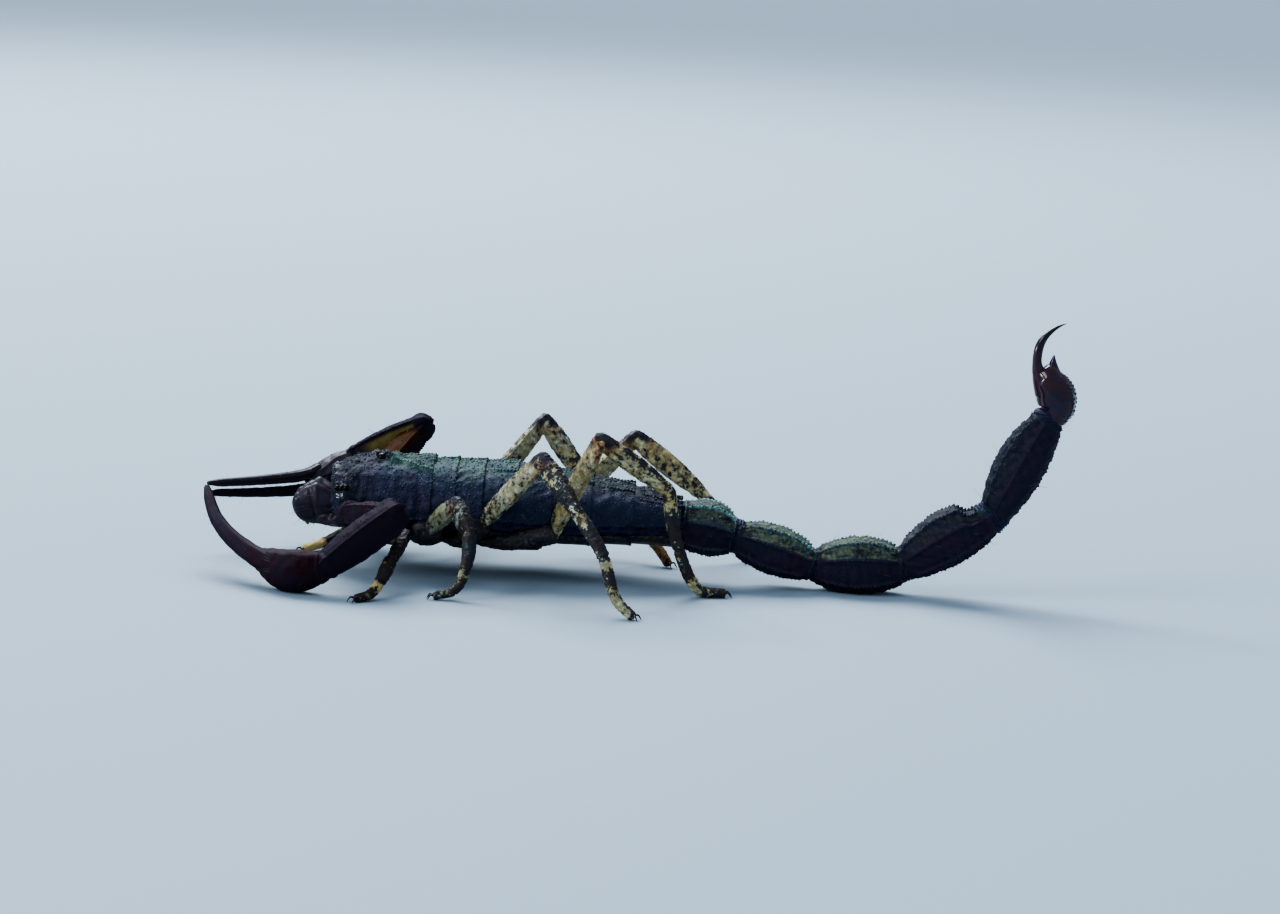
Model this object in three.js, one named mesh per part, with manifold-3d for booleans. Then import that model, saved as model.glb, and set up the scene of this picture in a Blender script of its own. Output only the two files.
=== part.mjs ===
// A bark scorpion, life size, standing with its tail laid back on the ground and the sting raised.
// Millimetres, +Z up, the ground is z = 0. The head points to -X, the animal's left side is -Y.
// Every plate or limb article is its own closed solid, parted from its neighbours by a thin cut.
import * as THREE from 'three';
import { mergeVertices } from 'three/addons/utils/BufferGeometryUtils.js';
import Module from 'manifold-3d';

const wasm = await Module();
wasm.setup();

// ---------------------------------------------------------------- driving dimensions
const ORIGIN = { x: -0.21, y: -0.635 };   // the drawing's own point that becomes the frame's origin
const CUT = 0.06;            // width of the cut between two neighbouring solids
const SOCKET_GAP = 0.04;     // play between an eye and its socket
const SIDES = { trunk: 18, tail: 12, arm: 10, leg: 8, foot: 6, finger: 7, eye: 8 };   // facets round each

const CARAPACE = { front: -18.35, back: -12.35, marginZ: 3.9 };
const MOUND = { x: -15.4, z: 6.5, size: [1.25, 0.8, 0.5] };   // the knob that bears the median eyes
const TRUNK_BACK = 2.6;          // where the tail begins
const TRUNK_ROUND = { wide: 0.85, tall: 0.72 };   // how square the trunk's section is: 1 is an ellipse
const PLATE_BULGE = 0.035;       // how much fuller the middle of a back segment is than its ends
// Shares of the mesosoma's length taken by its seven segments, front to back.
const SEGMENT_SHARES = [0.09, 0.11, 0.13, 0.145, 0.155, 0.165, 0.205];

// The trunk's outline: x, half width, height of the back, height of the belly.
const TRUNK = [
  [-18.35, 1.8, 5.9, 2.85],
  [-17.0, 2.4, 6.5, 2.6],
  [-15.3, 2.8, 6.68, 2.3],
  [-12.35, 3.1, 6.7, 2.15],
  [-8.4, 3.4, 6.7, 2.1],
  [-4.7, 3.45, 6.4, 2.1],
  [-1.5, 3.05, 5.9, 2.25],
  [0.8, 2.4, 5.45, 2.3],
  [2.6, 1.65, 5.0, 2.2],
];

// Tail joints in the plane of symmetry, and for each segment its half width and its reach from the
// line between the joints to the dorsal and to the ventral side.
const TAIL = [[2.6, 3.56], [5.85, 3.0], [10.8, 1.5], [16.15, 1.75], [21.3, 5.1], [24.15, 11.2]];
const TAIL_SIZE = [
  [1.5, 1.95, 1.4], [1.45, 1.62, 1.3], [1.4, 1.85, 1.62], [1.38, 1.9, 1.38], [1.32, 1.6, 1.42],
];
const TAIL_ROOT = 0.85;      // share of the full size left where the tail meets the trunk
const TAIL_NECK = 0.56;      // share of the full size left at a joint of the tail
const NECK_SHIFT = { dorsal: -0.06, ventral: 0.08 };   // how much that differs above and below
const TAIL_CAP = [0.45, 0.45];
const TAIL_SQUARE = 0.85;    // how square a tail segment's section is
const TAIL_CREST = 0.52;     // where along a tail segment its back is highest
// The back of the fourth segment drops behind its last teeth by this share, between these places.
const TAIL_STEP = { segment: 3, from: 0.7, to: 0.8, drop: 0.36 };
const TAIL_RINGS = 5;
const STEP_RINGS = 7;
// Rows of x, z, half width and half thickness in the plane of the bend, from root to end. A horn is
// round, so its rows give one half thickness.
const TELSON_END = [23.15, 14.3];
const BULB = [
  [24.3, 10.95, 0.66, 0.62],
  [24.5, 11.4, 0.86, 0.86],
  [24.63, 11.95, 1.02, 1.06],
  [24.58, 12.5, 1.06, 1.1],
  [24.4, 13.0, 1.02, 1.02],
  [24.1, 13.45, 0.9, 0.88],
  [23.85, 13.82, 0.74, 0.75],
  [23.62, 14.08, 0.5, 0.54],
];
const THORN = [
  [24.25, 13.6, 0.62],
  [24.22, 14.0, 0.46],
  [24.2, 14.3, 0.31],
  [24.18, 14.6, 0.2],
  [24.21, 15.03, 0.03],
];
const STING = [
  [23.72, 13.2, 0.5],
  [23.48, 13.7, 0.48],
  [23.31, 14.1, 0.36],
  [23.23, 14.5, 0.285],
  [23.22, 14.85, 0.275],
  [23.29, 15.42, 0.265],
  [23.45, 15.85, 0.23],
  [23.72, 16.2, 0.165],
  [24.08, 16.54, 0.115],
  [24.45, 16.79, 0.065],
  [24.8, 16.94, 0.02],
];
const BULB_CAP = [0.3, 0.12];

// Pincer arms, joint by joint. gape is the direction in which the movable finger lies, gap the
// opening between the fingers, and blade their half width and half height at root and tip.
const ARMS = {
  left: {
    coxa: [-17.0, -1.9, 3.4],
    shoulder: [-16.8, -3.5, 3.75],
    elbow: [-14.0, -7.1, 4.5],
    wrist: [-17.75, -8.9, 1.6],
    palm: [-19.8, -8.4, 1.22],
    knuckle: [-21.3, -7.4, 1.5],
    finger: [
      [-22.5, -6.3, 1.85], [-23.8, -4.95, 2.45], [-24.68, -3.7, 3.1],
      [-25.2, -2.6, 3.75], [-25.5, -1.8, 4.3],
    ],
    gape: [0.14, -1, 0.2],
    gap: 0.02,
    patella: [0.95, 1.15],
    hand: [1.0, 1.24],
    blade: { root: [0.64, 0.36], tip: [0.29, 0.23] },
  },
  right: {
    coxa: [-17.0, 1.9, 3.4],
    shoulder: [-16.5, 3.6, 4.0],
    elbow: [-13.6, 7.0, 7.3],
    wrist: [-17.85, 7.3, 5.15],
    palm: [-19.1, 6.9, 4.35],
    knuckle: [-20.1, 6.2, 3.85],
    finger: [
      [-21.0, 5.4, 3.71], [-22.3, 4.2, 3.72], [-23.65, 3.1, 3.76],
      [-24.85, 2.1, 3.83], [-25.8, 1.3, 3.9],
    ],
    gape: [0, 0, -1],
    gap: 0.22,
    patella: [0.92, 1.12],
    hand: [1.0, 0.86],
    blade: { root: [0.4, 0.38], tip: [0.24, 0.21] },
  },
};
const ARM = { trochanter: [0.8, 0.8], femur: [0.76, 0.84] };
const FINGER_SHARES = [0, 0.2, 0.4, 0.6, 0.8, 1];   // where a finger's line is set out along its middle
const FINGER_PLAY = 0.04;        // play between the movable finger and the rest of the hand
const FINGER_ROOT = 0.6;         // a finger springs from this share of the way from palm to knuckle
const FINGER_CAP = [0, 0.25];

// How an article of a limb ends: the lengths of its two end caps, the shares of its full size that
// are left at root and tip, and where along it that full size lies.
const FORM = {
  armTrochanter: { cap: [0, 0.5], ends: [0.85, 0.85], peak: 0.5 },
  armFemur: { cap: [0.5, 0.6], ends: [0.8, 0.8], peak: 0.6, square: 0.85 },
  armPatella: { cap: [0.8, 0.5], ends: [0.88, 0.68], peak: 0.35, square: 0.85 },
  hand: { cap: [0.5, 0.7], ends: [0.66, 0.6], peak: 0.42 },
  legFemur: { cap: [0, 0.42], ends: [0.76, 0.76], peak: 0.55 },
  legPatella: { cap: [0.45, 0.3], ends: [0.76, 0.62], peak: 0.4 },
};
const FOOT_CAP = [0.3, 0.2];
const SHIN_ROOT = 0.9;           // share of the shin's girth where it leaves the knee's article

// Legs, front to back: hip, knee, shin top, ankle, instep, toe. The toes lie flat on the ground.
const TOE_Z = 0.23;
const HIND_TOE_Z = 0.27;         // the same for the thicker feet of the hind pairs
const LEGS = {
  left: [
    [
      [-14.6, -2.5, 2.5], [-13.4, -5.6, 3.0], [-14.05, -7.6, 1.9],
      [-14.4, -8.7, 1.1], [-14.9, -9.6, 0.4], [-15.65, -10.25, TOE_Z],
    ],
    [
      [-12.3, -2.9, 2.9], [-10.5, -5.6, 5.1], [-9.55, -7.1, 3.6],
      [-9.6, -7.9, 2.1], [-10.15, -8.3, 0.65], [-11.3, -8.45, TOE_Z],
    ],
    [
      [-9.2, -3.0, 3.4], [-5.6, -6.4, 8.15], [-3.48, -8.4, 5.65],
      [-1.85, -9.65, 3.5], [-0.86, -10.4, 1.0], [0.05, -10.85, TOE_Z],
    ],
    [
      [-4.95, -3.1, 3.15], [-2.3, -6.4, 9.5], [1.8, -5.25, 6.5],
      [2.35, -4.65, 3.6], [3.85, -4.05, 0.52], [5.35, -3.75, HIND_TOE_Z],
    ],
  ],
  right: [
    [
      [-14.6, 2.5, 2.5], [-14.2, 5.6, 4.3], [-15.9, 6.0, 2.5],
      [-17.6, 4.9, 1.2], [-19.0, 3.5, 0.5], [-20.15, 2.4, TOE_Z],
    ],
    [
      [-12.3, 2.9, 2.9], [-10.9, 6.0, 5.0], [-10.4, 7.9, 3.4],
      [-10.7, 8.8, 1.7], [-11.3, 9.3, 0.55], [-12.4, 9.6, TOE_Z],
    ],
    [
      [-9.9, 3.0, 3.4], [-6.0, 6.4, 8.3], [-3.3, 6.95, 4.55],
      [-0.9, 6.1, 2.7], [1.2, 4.6, 1.3], [2.1, 3.85, HIND_TOE_Z],
    ],
    [
      [-4.95, 3.1, 3.15], [-0.35, 6.1, 7.6], [3.85, 6.5, 4.35],
      [5.7, 6.8, 2.4], [7.5, 7.0, 0.55], [9.0, 7.15, TOE_Z],
    ],
  ],
};
// Half width and half height of a leg's femur and patella, then the half thickness of its shin and of
// its foot at FOOT_SHARES, for each pair of legs.
const LEG = [
  { femur: [0.4, 0.54], patella: [0.46, 0.62], shin: 0.42, foot: [0.32, 0.28, 0.24] },
  { femur: [0.43, 0.58], patella: [0.48, 0.67], shin: 0.42, foot: [0.32, 0.28, 0.24] },
  { femur: [0.42, 0.6], patella: [0.46, 0.64], shin: 0.42, foot: [0.35, 0.33, 0.28] },
  { femur: [0.44, 0.62], patella: [0.48, 0.7], shin: 0.42, foot: [0.34, 0.35, 0.28] },
];
const SHIN_SHARES = [0, 0.2];          // where along the foot's line the shin starts and is full
const FOOT_SHARES = [0.45, 0.75, 1];

const EYES = {
  median: { x: -15.35, y: 0.52, z: 6.64, r: 0.3 },
  lateral: { first: [-17.8, 2.06, 4.97], pitch: [0.27, 0.09, 0.04], r: 0.19 },
};
// A jaw swells from a narrow root. Its two claws start beside its front and bend inwards and down.
const CHELICERA = {
  root: [-17.9, 0.88, 3.95],
  palm: [-19.2, 0.92, 3.85],
  front: [-19.9, 0.9, 3.6],
  half: [0.8, 1.14],
  rootShare: 0.5,
  frontShare: 0.72,
  cap: 0.6,
  claws: [
    { start: [0.15, 0.28, 0], end: [-0.2, -0.11, -1.0] },
    { start: [0.15, -0.3, 0.25], end: [-0.2, -0.4, -0.95] },
  ],
  clawBend: [-0.22, 0, 0.1],
  clawRoot: [0.34, 0.4],
  clawTip: [0.12, 0.14],
};
const PECTINE = {
  root: [-8.1, 0.45], tip: [-5.7, 3.0], z: 1.55, rise: 0.22, thickness: 0.5, width: 0.85, teeth: 10,
};
// Where a tooth of the comb begins, ends and meets the next gap, as shares of the pitch of the teeth.
const TOOTH = { from: 0.15, to: 0.75, gap: 0.95 };

// ---------------------------------------------------------------- materials
const finish = (color, roughness) => new THREE.MeshStandardMaterial({ color, roughness, metalness: 0 });
const SHELL = finish('#20242e', 0.5);
const TAIL_SHELL = finish('#171a22', 0.5);
const PINCER = finish('#1c1216', 0.35);
const LEG_SHELL = finish('#8c7b4a', 0.5);
const BELLY = finish('#4a3a28', 0.55);
const EYE = finish('#040506', 0.1);
const STING_SHELL = finish('#2c1012', 0.2);

// ---------------------------------------------------------------- helpers
const vec = (x, y, z) => new THREE.Vector3(x, y, z);
const point = (p) => new THREE.Vector3(...p);
const { lerp, smoothstep } = THREE.MathUtils;
const UP = vec(0, 0, 1);
const FAR = 60;
const power = (value, exponent) => Math.sign(value) * Math.abs(value) ** exponent;

// Reads a table of [x, value, value, ...] rows at any x between them.
function readTable(rows, x) {
  let i = 0;
  while (i < rows.length - 2 && x > rows[i + 1][0]) i += 1;
  const t = THREE.MathUtils.clamp((x - rows[i][0]) / (rows[i + 1][0] - rows[i][0]), 0, 1);
  return rows[i].slice(1).map((v, k) => lerp(v, rows[i + 1][k + 1], t));
}

// A three.js geometry as a manifold solid.
function solid(geometry) {
  const bare = geometry.clone();
  bare.deleteAttribute('normal');
  bare.deleteAttribute('uv');
  const merged = mergeVertices(bare, 1e-5);
  return new wasm.Manifold(new wasm.Mesh({
    numProp: 3,
    vertProperties: new Float32Array(merged.attributes.position.array),
    triVerts: new Uint32Array(merged.index.array),
  }));
}

// A closed skin: a cylinder whose vertices are moved to place(ring, angle, rim).
// ring counts from 0 along it, and rim is 0 at a cap's centre and 1 on the wall.
function skin(sides, rings, place) {
  const geometry = new THREE.CylinderGeometry(1, 1, 1, sides, rings);
  const position = geometry.attributes.position;
  for (let i = 0; i < position.count; i += 1) {
    const [x, y, z] = [position.getX(i), position.getY(i), position.getZ(i)];
    const moved = place(Math.round((y + 0.5) * rings), Math.atan2(z, x), Math.round(Math.hypot(x, z)));
    position.setXYZ(i, moved.x, moved.y, moved.z);
  }
  return solid(geometry);
}

const boxAt = (low, high) => {
  const size = point(high).sub(point(low));
  const centre = point(low).addScaledVector(size, 0.5);
  return solid(new THREE.BoxGeometry(size.x, size.y, size.z).translate(centre.x, centre.y, centre.z));
};
const BELOW_GROUND = boxAt([-FAR, -FAR, -FAR], [FAR, FAR, 0]);
const stood = (body) => body.subtract(BELOW_GROUND);   // leaves a small flat where it meets the ground

// Takes away everything of a body that lies beyond a plane, in the direction of its normal.
function trimmed(body, at, normal) {
  const box = new THREE.BoxGeometry(FAR, FAR, FAR).translate((FAR - CUT) / 2, 0, 0);
  box.applyQuaternion(new THREE.Quaternion().setFromUnitVectors(vec(1, 0, 0), normal));
  return body.subtract(solid(box.translate(at.x, at.y, at.z)));
}

// The normal of the plane that halves the bend between two stretches that meet at a joint.
function mitre(before, joint, after) {
  const arriving = joint.clone().sub(before).normalize();
  return arriving.add(after.clone().sub(joint).normalize()).normalize();
}

const CAP_ANGLES = [1.25, 0.7];   // where the rings of a half-egg end lie, in radians from its rim
const TAPER = 0.85;               // how soon an article reaches its full size

// A limb article along a path, with a half-egg end where cap gives it a length.
// half(t) gives [half width, reach upwards, reach downwards] at a share t of the path, where a
// reach that is left out is the one before it.
// The section's upward side is set by hinge, the axis about which the limb's joints fold, or by up.
function limb({ path, count, cap = [0, 0], half, sides, hinge, up = UP, square = 1 }) {
  const rows = [];
  const add = (t, shift, scale) => {
    const along = path.getTangentAt(t);
    const lift = hinge ? along.clone().cross(hinge) : up.clone().addScaledVector(along, -up.dot(along));
    lift.normalize();
    const centre = path.getPointAt(t).addScaledVector(along, shift);
    rows.push({ centre, lift, side: along.clone().cross(lift), size: half(t).map((v) => v * scale) });
  };
  if (cap[0]) CAP_ANGLES.forEach((a) => add(0, -cap[0] * Math.sin(a), Math.cos(a)));
  for (let i = 0; i <= count; i += 1) add(i / count, 0, 1);
  if (cap[1]) [...CAP_ANGLES].reverse().forEach((a) => add(1, cap[1] * Math.sin(a), Math.cos(a)));
  return skin(sides, rows.length - 1, (ring, angle, rim) => {
    const { centre, lift, side, size: [wide, above = wide, below = above] } = rows[ring];
    const reach = Math.sin(angle) >= 0 ? above : below;
    return centre.clone()
      .addScaledVector(side, rim * wide * power(Math.cos(angle), square))
      .addScaledVector(lift, rim * reach * power(Math.sin(angle), square));
  });
}

const straight = (a, b) => new THREE.LineCurve3(a, b);
const smooth = (points) => new THREE.CatmullRomCurve3(points, false, 'centripetal');

// Fullness of an article that is slimmer at both ends than at its peak.
function swell(t, { ends, peak = 0.5 }) {
  const s = t < peak ? t / peak : (1 - t) / (1 - peak);
  return lerp(lerp(...ends, t), 1, Math.sin((Math.PI / 2) * s) ** TAPER);
}

// The half sizes of an article of a limb along its length.
const article = (sizes, form) => (t) => sizes.map((v) => v * swell(t, form));

const model = new THREE.Group();
function show(name, body, material) {
  const made = body.getMesh();
  const geometry = new THREE.BufferGeometry();
  geometry.setAttribute('position', new THREE.BufferAttribute(made.vertProperties, 3));
  geometry.setIndex(new THREE.BufferAttribute(made.triVerts, 1));
  geometry.computeVertexNormals();
  const mesh = new THREE.Mesh(geometry, material);
  mesh.name = name;
  model.add(mesh);
}

const SIGN = { left: -1, right: 1 };

// ---------------------------------------------------------------- trunk
const trunkMiddle = (back, belly) => Math.min(CARAPACE.marginZ, (back + belly) / 2 + 0.1);

// A stretch of the trunk between two stations of its length. grow widens it all round, and bulge
// lifts the middle of a plate a little above its edges.
function trunk(from, to, rings, { grow = 0, bulge = 0 } = {}) {
  return skin(SIDES.trunk, rings, (ring, angle, rim) => {
    const t = ring / rings;
    const x = lerp(from, to, t);
    const [halfWidth, back, belly] = readTable(TRUNK, x);
    const middle = trunkMiddle(back, belly);
    const full = 1 + bulge * (Math.sin(Math.PI * t) - 0.5);
    const rise = Math.sin(angle) >= 0 ? back - middle : middle - belly;
    return vec(
      x,
      -rim * (halfWidth * full + grow) * power(Math.cos(angle), TRUNK_ROUND.wide),
      middle + rim * (rise * full + grow) * power(Math.sin(angle), TRUNK_ROUND.tall),
    );
  });
}

const ball = (radius, centre, round = SIDES.eye, tall = 6) => solid(
  new THREE.SphereGeometry(radius, round, tall).translate(centre.x, centre.y, centre.z),
);

const prosoma = trunk(CARAPACE.front, CARAPACE.back, 6);
const prosomaGrown = trunk(CARAPACE.front - CUT, CARAPACE.back + CUT, 6, { grow: CUT });
const mesosomaGrown = trunk(CARAPACE.back, TRUNK_BACK, 10, { grow: CUT * 1.6 });

const eyes = [];
for (const [side, sign] of Object.entries(SIGN)) {
  const { median, lateral } = EYES;
  const place = vec(median.x, sign * median.y, median.z);
  eyes.push([`median_eye_${side}`, (extra) => ball(median.r + extra, place)]);
  eyes.push([`lateral_eyes_${side}`, (extra) => {
    const [one, two, three] = [0, 1, 2].map((i) => {
      const centre = point(lateral.first).addScaledVector(point(lateral.pitch), i);
      return ball(lateral.r + extra, centre.setY(sign * centre.y), 6, 4);
    });
    return one.add(two).add(three);
  }]);
}

const mound = solid(new THREE.SphereGeometry(1, 10, 4).rotateX(Math.PI / 2)
  .scale(...MOUND.size).translate(MOUND.x, 0, MOUND.z));
const aboveMargin = boxAt([-FAR, -FAR, CARAPACE.marginZ + CUT / 2], [FAR, FAR, FAR]);
const belowMargin = boxAt([-FAR, -FAR, -FAR], [FAR, FAR, CARAPACE.marginZ - CUT / 2]);
let carapace = prosoma.intersect(aboveMargin).add(mound);
for (const [name, make] of eyes) {
  carapace = carapace.subtract(make(SOCKET_GAP));
  show(name, make(0), EYE);
}
show('carapace', carapace, SHELL);
show('prosoma_underside', prosoma.intersect(belowMargin), BELLY);

let stationX = CARAPACE.back;
SEGMENT_SHARES.forEach((share, i) => {
  const next = stationX + share * (TRUNK_BACK - CARAPACE.back);
  show(`mesosoma_${i + 1}`, trunk(stationX + CUT, next, 2, { bulge: PLATE_BULGE }), SHELL);
  stationX = next;
});

// ---------------------------------------------------------------- tail
const inPlane = ([x, z]) => vec(x, 0, z);
const tailJoints = TAIL.map(inPlane);
const TAIL_HINGE = vec(0, 1, 0);
const bulbEnd = inPlane(TELSON_END);
const trunkEndNormal = vec(1, 0, 0);

TAIL_SIZE.forEach(([wide, above, below], i) => {
  const [start, end] = [tailJoints[i], tailJoints[i + 1]];
  const after = i < TAIL_SIZE.length - 1 ? tailJoints[i + 2] : bulbEnd;
  const stepped = i === TAIL_STEP.segment;
  const startNormal = i === 0 ? trunkEndNormal : mitre(tailJoints[i - 1], start, end);
  let body = limb({
    path: straight(start, end),
    count: stepped ? STEP_RINGS : TAIL_RINGS,
    cap: TAIL_CAP,
    sides: SIDES.tail,
    hinge: TAIL_HINGE,
    square: TAIL_SQUARE,
    half: (t) => {
      const neck = i === 0 ? lerp(TAIL_ROOT, TAIL_NECK, Math.min(1, t * 2)) : TAIL_NECK;
      const ends = (shift) => [neck + shift, neck + shift];
      const drop = stepped ? TAIL_STEP.drop * smoothstep(t, TAIL_STEP.from, TAIL_STEP.to) : 0;
      return [
        wide * swell(t, { ends: ends(0) }),
        above * swell(t, { ends: ends(NECK_SHIFT.dorsal), peak: TAIL_CREST }) * (1 - drop),
        below * swell(t, { ends: ends(NECK_SHIFT.ventral) }),
      ];
    },
  });
  body = trimmed(body, start, startNormal.clone().negate());
  body = trimmed(body, end, mitre(start, end, after));
  show(`metasoma_${i + 1}`, stood(body), TAIL_SHELL);
});

// A spindle through rows of x, z and half sizes, in the plane of symmetry.
const SPINDLE_STEPS = 200;
function spindle(rows, sides, cap) {
  const path = smooth(rows.map(inPlane));
  const samples = path.getSpacedPoints(SPINDLE_STEPS);
  const table = rows.map(([x, z, ...half]) => {
    const distances = samples.map((p) => p.distanceTo(inPlane([x, z])));
    return [distances.indexOf(Math.min(...distances)) / SPINDLE_STEPS, ...half];
  });
  return limb({
    path, count: rows.length, cap, sides, hinge: TAIL_HINGE, half: (t) => readTable(table, t),
  });
}

// The poison bulb bears a small thorn under the sting.
let telson = spindle(BULB, SIDES.tail, BULB_CAP);
telson = trimmed(telson, tailJoints[5], mitre(tailJoints[4], tailJoints[5], bulbEnd).negate());
telson = telson.add(spindle(THORN, SIDES.finger));
show('telson', telson, STING_SHELL);
show('sting', spindle(STING, SIDES.finger).subtract(telson), STING_SHELL);

// ---------------------------------------------------------------- mouth
for (const [side, sign] of Object.entries(SIGN)) {
  const mirrored = ([x, y, z]) => vec(x, sign * y, z);
  const [root, palm, front] = [CHELICERA.root, CHELICERA.palm, CHELICERA.front].map(mirrored);
  const [across, over] = CHELICERA.half;
  const palmBody = limb({
    path: smooth([root, palm, front]),
    count: 4,
    cap: [0, CHELICERA.cap],
    sides: SIDES.eye,
    half: (t) => [
      across * lerp(1, CHELICERA.frontShare, t ** 2),
      over * lerp(CHELICERA.rootShare, 1, smoothstep(t, 0.05, 0.6)),
      over,
    ],
  });
  const claw = (place) => {
    const start = front.clone().add(mirrored(place.start));
    const end = start.clone().add(mirrored(place.end));
    const bend = start.clone().lerp(end, 0.5).add(vec(...CHELICERA.clawBend));
    return limb({
      path: smooth([start, bend, end]),
      count: 3,
      sides: 5,
      up: vec(-1, 0, 0.2),
      half: (t) => CHELICERA.clawRoot.map((v, k) => lerp(v, CHELICERA.clawTip[k], t)),
    });
  };
  const chelicera = CHELICERA.claws.reduce((body, place) => body.add(claw(place)), palmBody);
  show(`chelicera_${side}`, chelicera.subtract(prosomaGrown), PINCER);
}

// ---------------------------------------------------------------- pincer arms
for (const side of Object.keys(SIGN)) {
  const arm = ARMS[side];
  const [coxa, shoulder, elbow, wrist, palm, knuckle] = [
    'coxa', 'shoulder', 'elbow', 'wrist', 'palm', 'knuckle'].map((k) => point(arm[k]));
  const shoulderMitre = mitre(coxa, shoulder, elbow);
  const elbowMitre = mitre(shoulder, elbow, wrist);
  const wristMitre = mitre(elbow, wrist, palm);
  const name = `pedipalp_${side}`;

  let trochanter = limb({
    ...FORM.armTrochanter, path: straight(coxa, shoulder), count: 2, sides: SIDES.arm,
    half: article(ARM.trochanter, FORM.armTrochanter),
  }).subtract(prosomaGrown);
  trochanter = trimmed(trochanter, shoulder, shoulderMitre);
  let femur = limb({
    ...FORM.armFemur, path: straight(shoulder, elbow), count: 4, sides: SIDES.arm,
    half: article(ARM.femur, FORM.armFemur),
  });
  femur = trimmed(femur, shoulder, shoulderMitre.clone().negate());
  femur = trimmed(femur, elbow, elbowMitre).subtract(prosomaGrown);
  let patella = limb({
    ...FORM.armPatella, path: straight(elbow, wrist), count: 4, sides: SIDES.arm,
    half: article(arm.patella, FORM.armPatella),
  });
  patella = trimmed(trimmed(patella, elbow, elbowMitre.clone().negate()), wrist, wristMitre);

  // The hand and its fixed finger are one piece. The movable finger lies along it, outside a thin slit.
  const gape = point(arm.gape).normalize();
  const palmBody = limb({
    ...FORM.hand, path: smooth([wrist, palm, knuckle]), count: 5, sides: SIDES.arm,
    half: article(arm.hand, FORM.hand),
  });
  const fingerPoints = [palm.clone().lerp(knuckle, FINGER_ROOT), knuckle, ...arm.finger.map(point)];
  const blade = (direction, extra) => {
    const middle = smooth(fingerPoints);
    const centres = FINGER_SHARES.map((t) => {
      const along = middle.getTangentAt(t);
      const apart = gape.clone().addScaledVector(along, -gape.dot(along)).normalize();
      const distance = lerp(arm.blade.root[1], arm.blade.tip[1], t) + arm.gap / 2;
      return middle.getPointAt(t).addScaledVector(apart, direction * distance);
    });
    return limb({
      path: smooth(centres), count: 7, cap: FINGER_CAP, sides: SIDES.finger, up: gape,
      half: (t) => [0, 1].map((k) => lerp(arm.blade.root[k], arm.blade.tip[k], t) + extra),
    });
  };
  const finger = blade(1, 0);
  let hand = palmBody.add(blade(-1, 0));
  hand = trimmed(hand, wrist, wristMitre.clone().negate()).subtract(blade(1, FINGER_PLAY));

  show(`${name}_trochanter`, trochanter, PINCER);
  show(`${name}_femur`, femur, PINCER);
  show(`${name}_patella`, stood(patella), PINCER);
  show(`${name}_hand`, stood(hand), PINCER);
  show(`${name}_finger`, stood(finger), PINCER);
}

// ---------------------------------------------------------------- legs
const trunkGrown = prosomaGrown.add(mesosomaGrown);
for (const side of Object.keys(SIGN)) {
  LEGS[side].forEach((joints, i) => {
    const [hip, knee, shin, ankle, instep, toe] = joints.map(point);
    const outwards = knee.clone().sub(hip).setZ(0).normalize();
    const hinge = UP.clone().cross(outwards);
    const kneeMitre = mitre(hip, knee, shin);
    const shinMitre = mitre(knee, shin, ankle);
    const size = LEG[i];
    let femur = limb({
      ...FORM.legFemur, path: straight(hip, knee), count: 3, sides: SIDES.leg, hinge,
      half: article(size.femur, FORM.legFemur),
    });
    femur = trimmed(femur, knee, kneeMitre).subtract(trunkGrown);
    let patella = limb({
      ...FORM.legPatella, path: straight(knee, shin), count: 3, sides: SIDES.leg, hinge,
      half: article(size.patella, FORM.legPatella),
    });
    patella = trimmed(trimmed(patella, knee, kneeMitre.clone().negate()), shin, shinMitre);
    const girth = [
      [SHIN_SHARES[0], SHIN_ROOT * size.shin],
      [SHIN_SHARES[1], size.shin],
      ...FOOT_SHARES.map((share, k) => [share, size.foot[k]]),
    ];
    let foot = limb({
      path: smooth([shin, ankle, instep, toe]),
      count: 6,
      cap: FOOT_CAP,
      sides: SIDES.foot,
      hinge,
      half: (t) => readTable(girth, t),
    });
    foot = trimmed(foot, shin, shinMitre.clone().negate());
    show(`leg_${side}_${i + 1}_femur`, femur, LEG_SHELL);
    show(`leg_${side}_${i + 1}_patella`, patella, LEG_SHELL);
    show(`leg_${side}_${i + 1}_foot`, stood(foot), LEG_SHELL);
  });
}

// ---------------------------------------------------------------- combs under the belly
for (const [side, sign] of Object.entries(SIGN)) {
  const [rootX, rootY] = PECTINE.root;
  const [tipX, tipY] = PECTINE.tip;
  const length = Math.hypot(tipX - rootX, tipY - rootY);
  const pitch = length / PECTINE.teeth;
  const { width } = PECTINE;
  const shape = new THREE.Shape();
  shape.moveTo(0, 0);
  for (let i = 0; i < PECTINE.teeth; i += 1) {
    shape.lineTo((i + TOOTH.from) * pitch, -width * 0.5);
    shape.lineTo((i + TOOTH.to) * pitch, -width * 0.5);
    if (i < PECTINE.teeth - 1) shape.lineTo((i + TOOTH.gap) * pitch, 0);
  }
  shape.lineTo(length, width * 0.25);
  shape.lineTo(0, width * 0.5);
  shape.closePath();
  const comb = new THREE.ExtrudeGeometry(shape, { depth: PECTINE.thickness, bevelEnabled: false });
  comb.rotateY(-PECTINE.rise);
  comb.rotateZ(Math.atan2(tipY - rootY, tipX - rootX));
  comb.translate(rootX, rootY, PECTINE.z);
  let body = solid(comb);
  if (sign < 0) body = body.mirror([0, 1, 0]);
  show(`pectine_${side}`, body.subtract(trunkGrown), BELLY);
}

model.position.set(-ORIGIN.x, -ORIGIN.y, 0);

const part = new THREE.Group();
part.add(model);
export default part;
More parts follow.
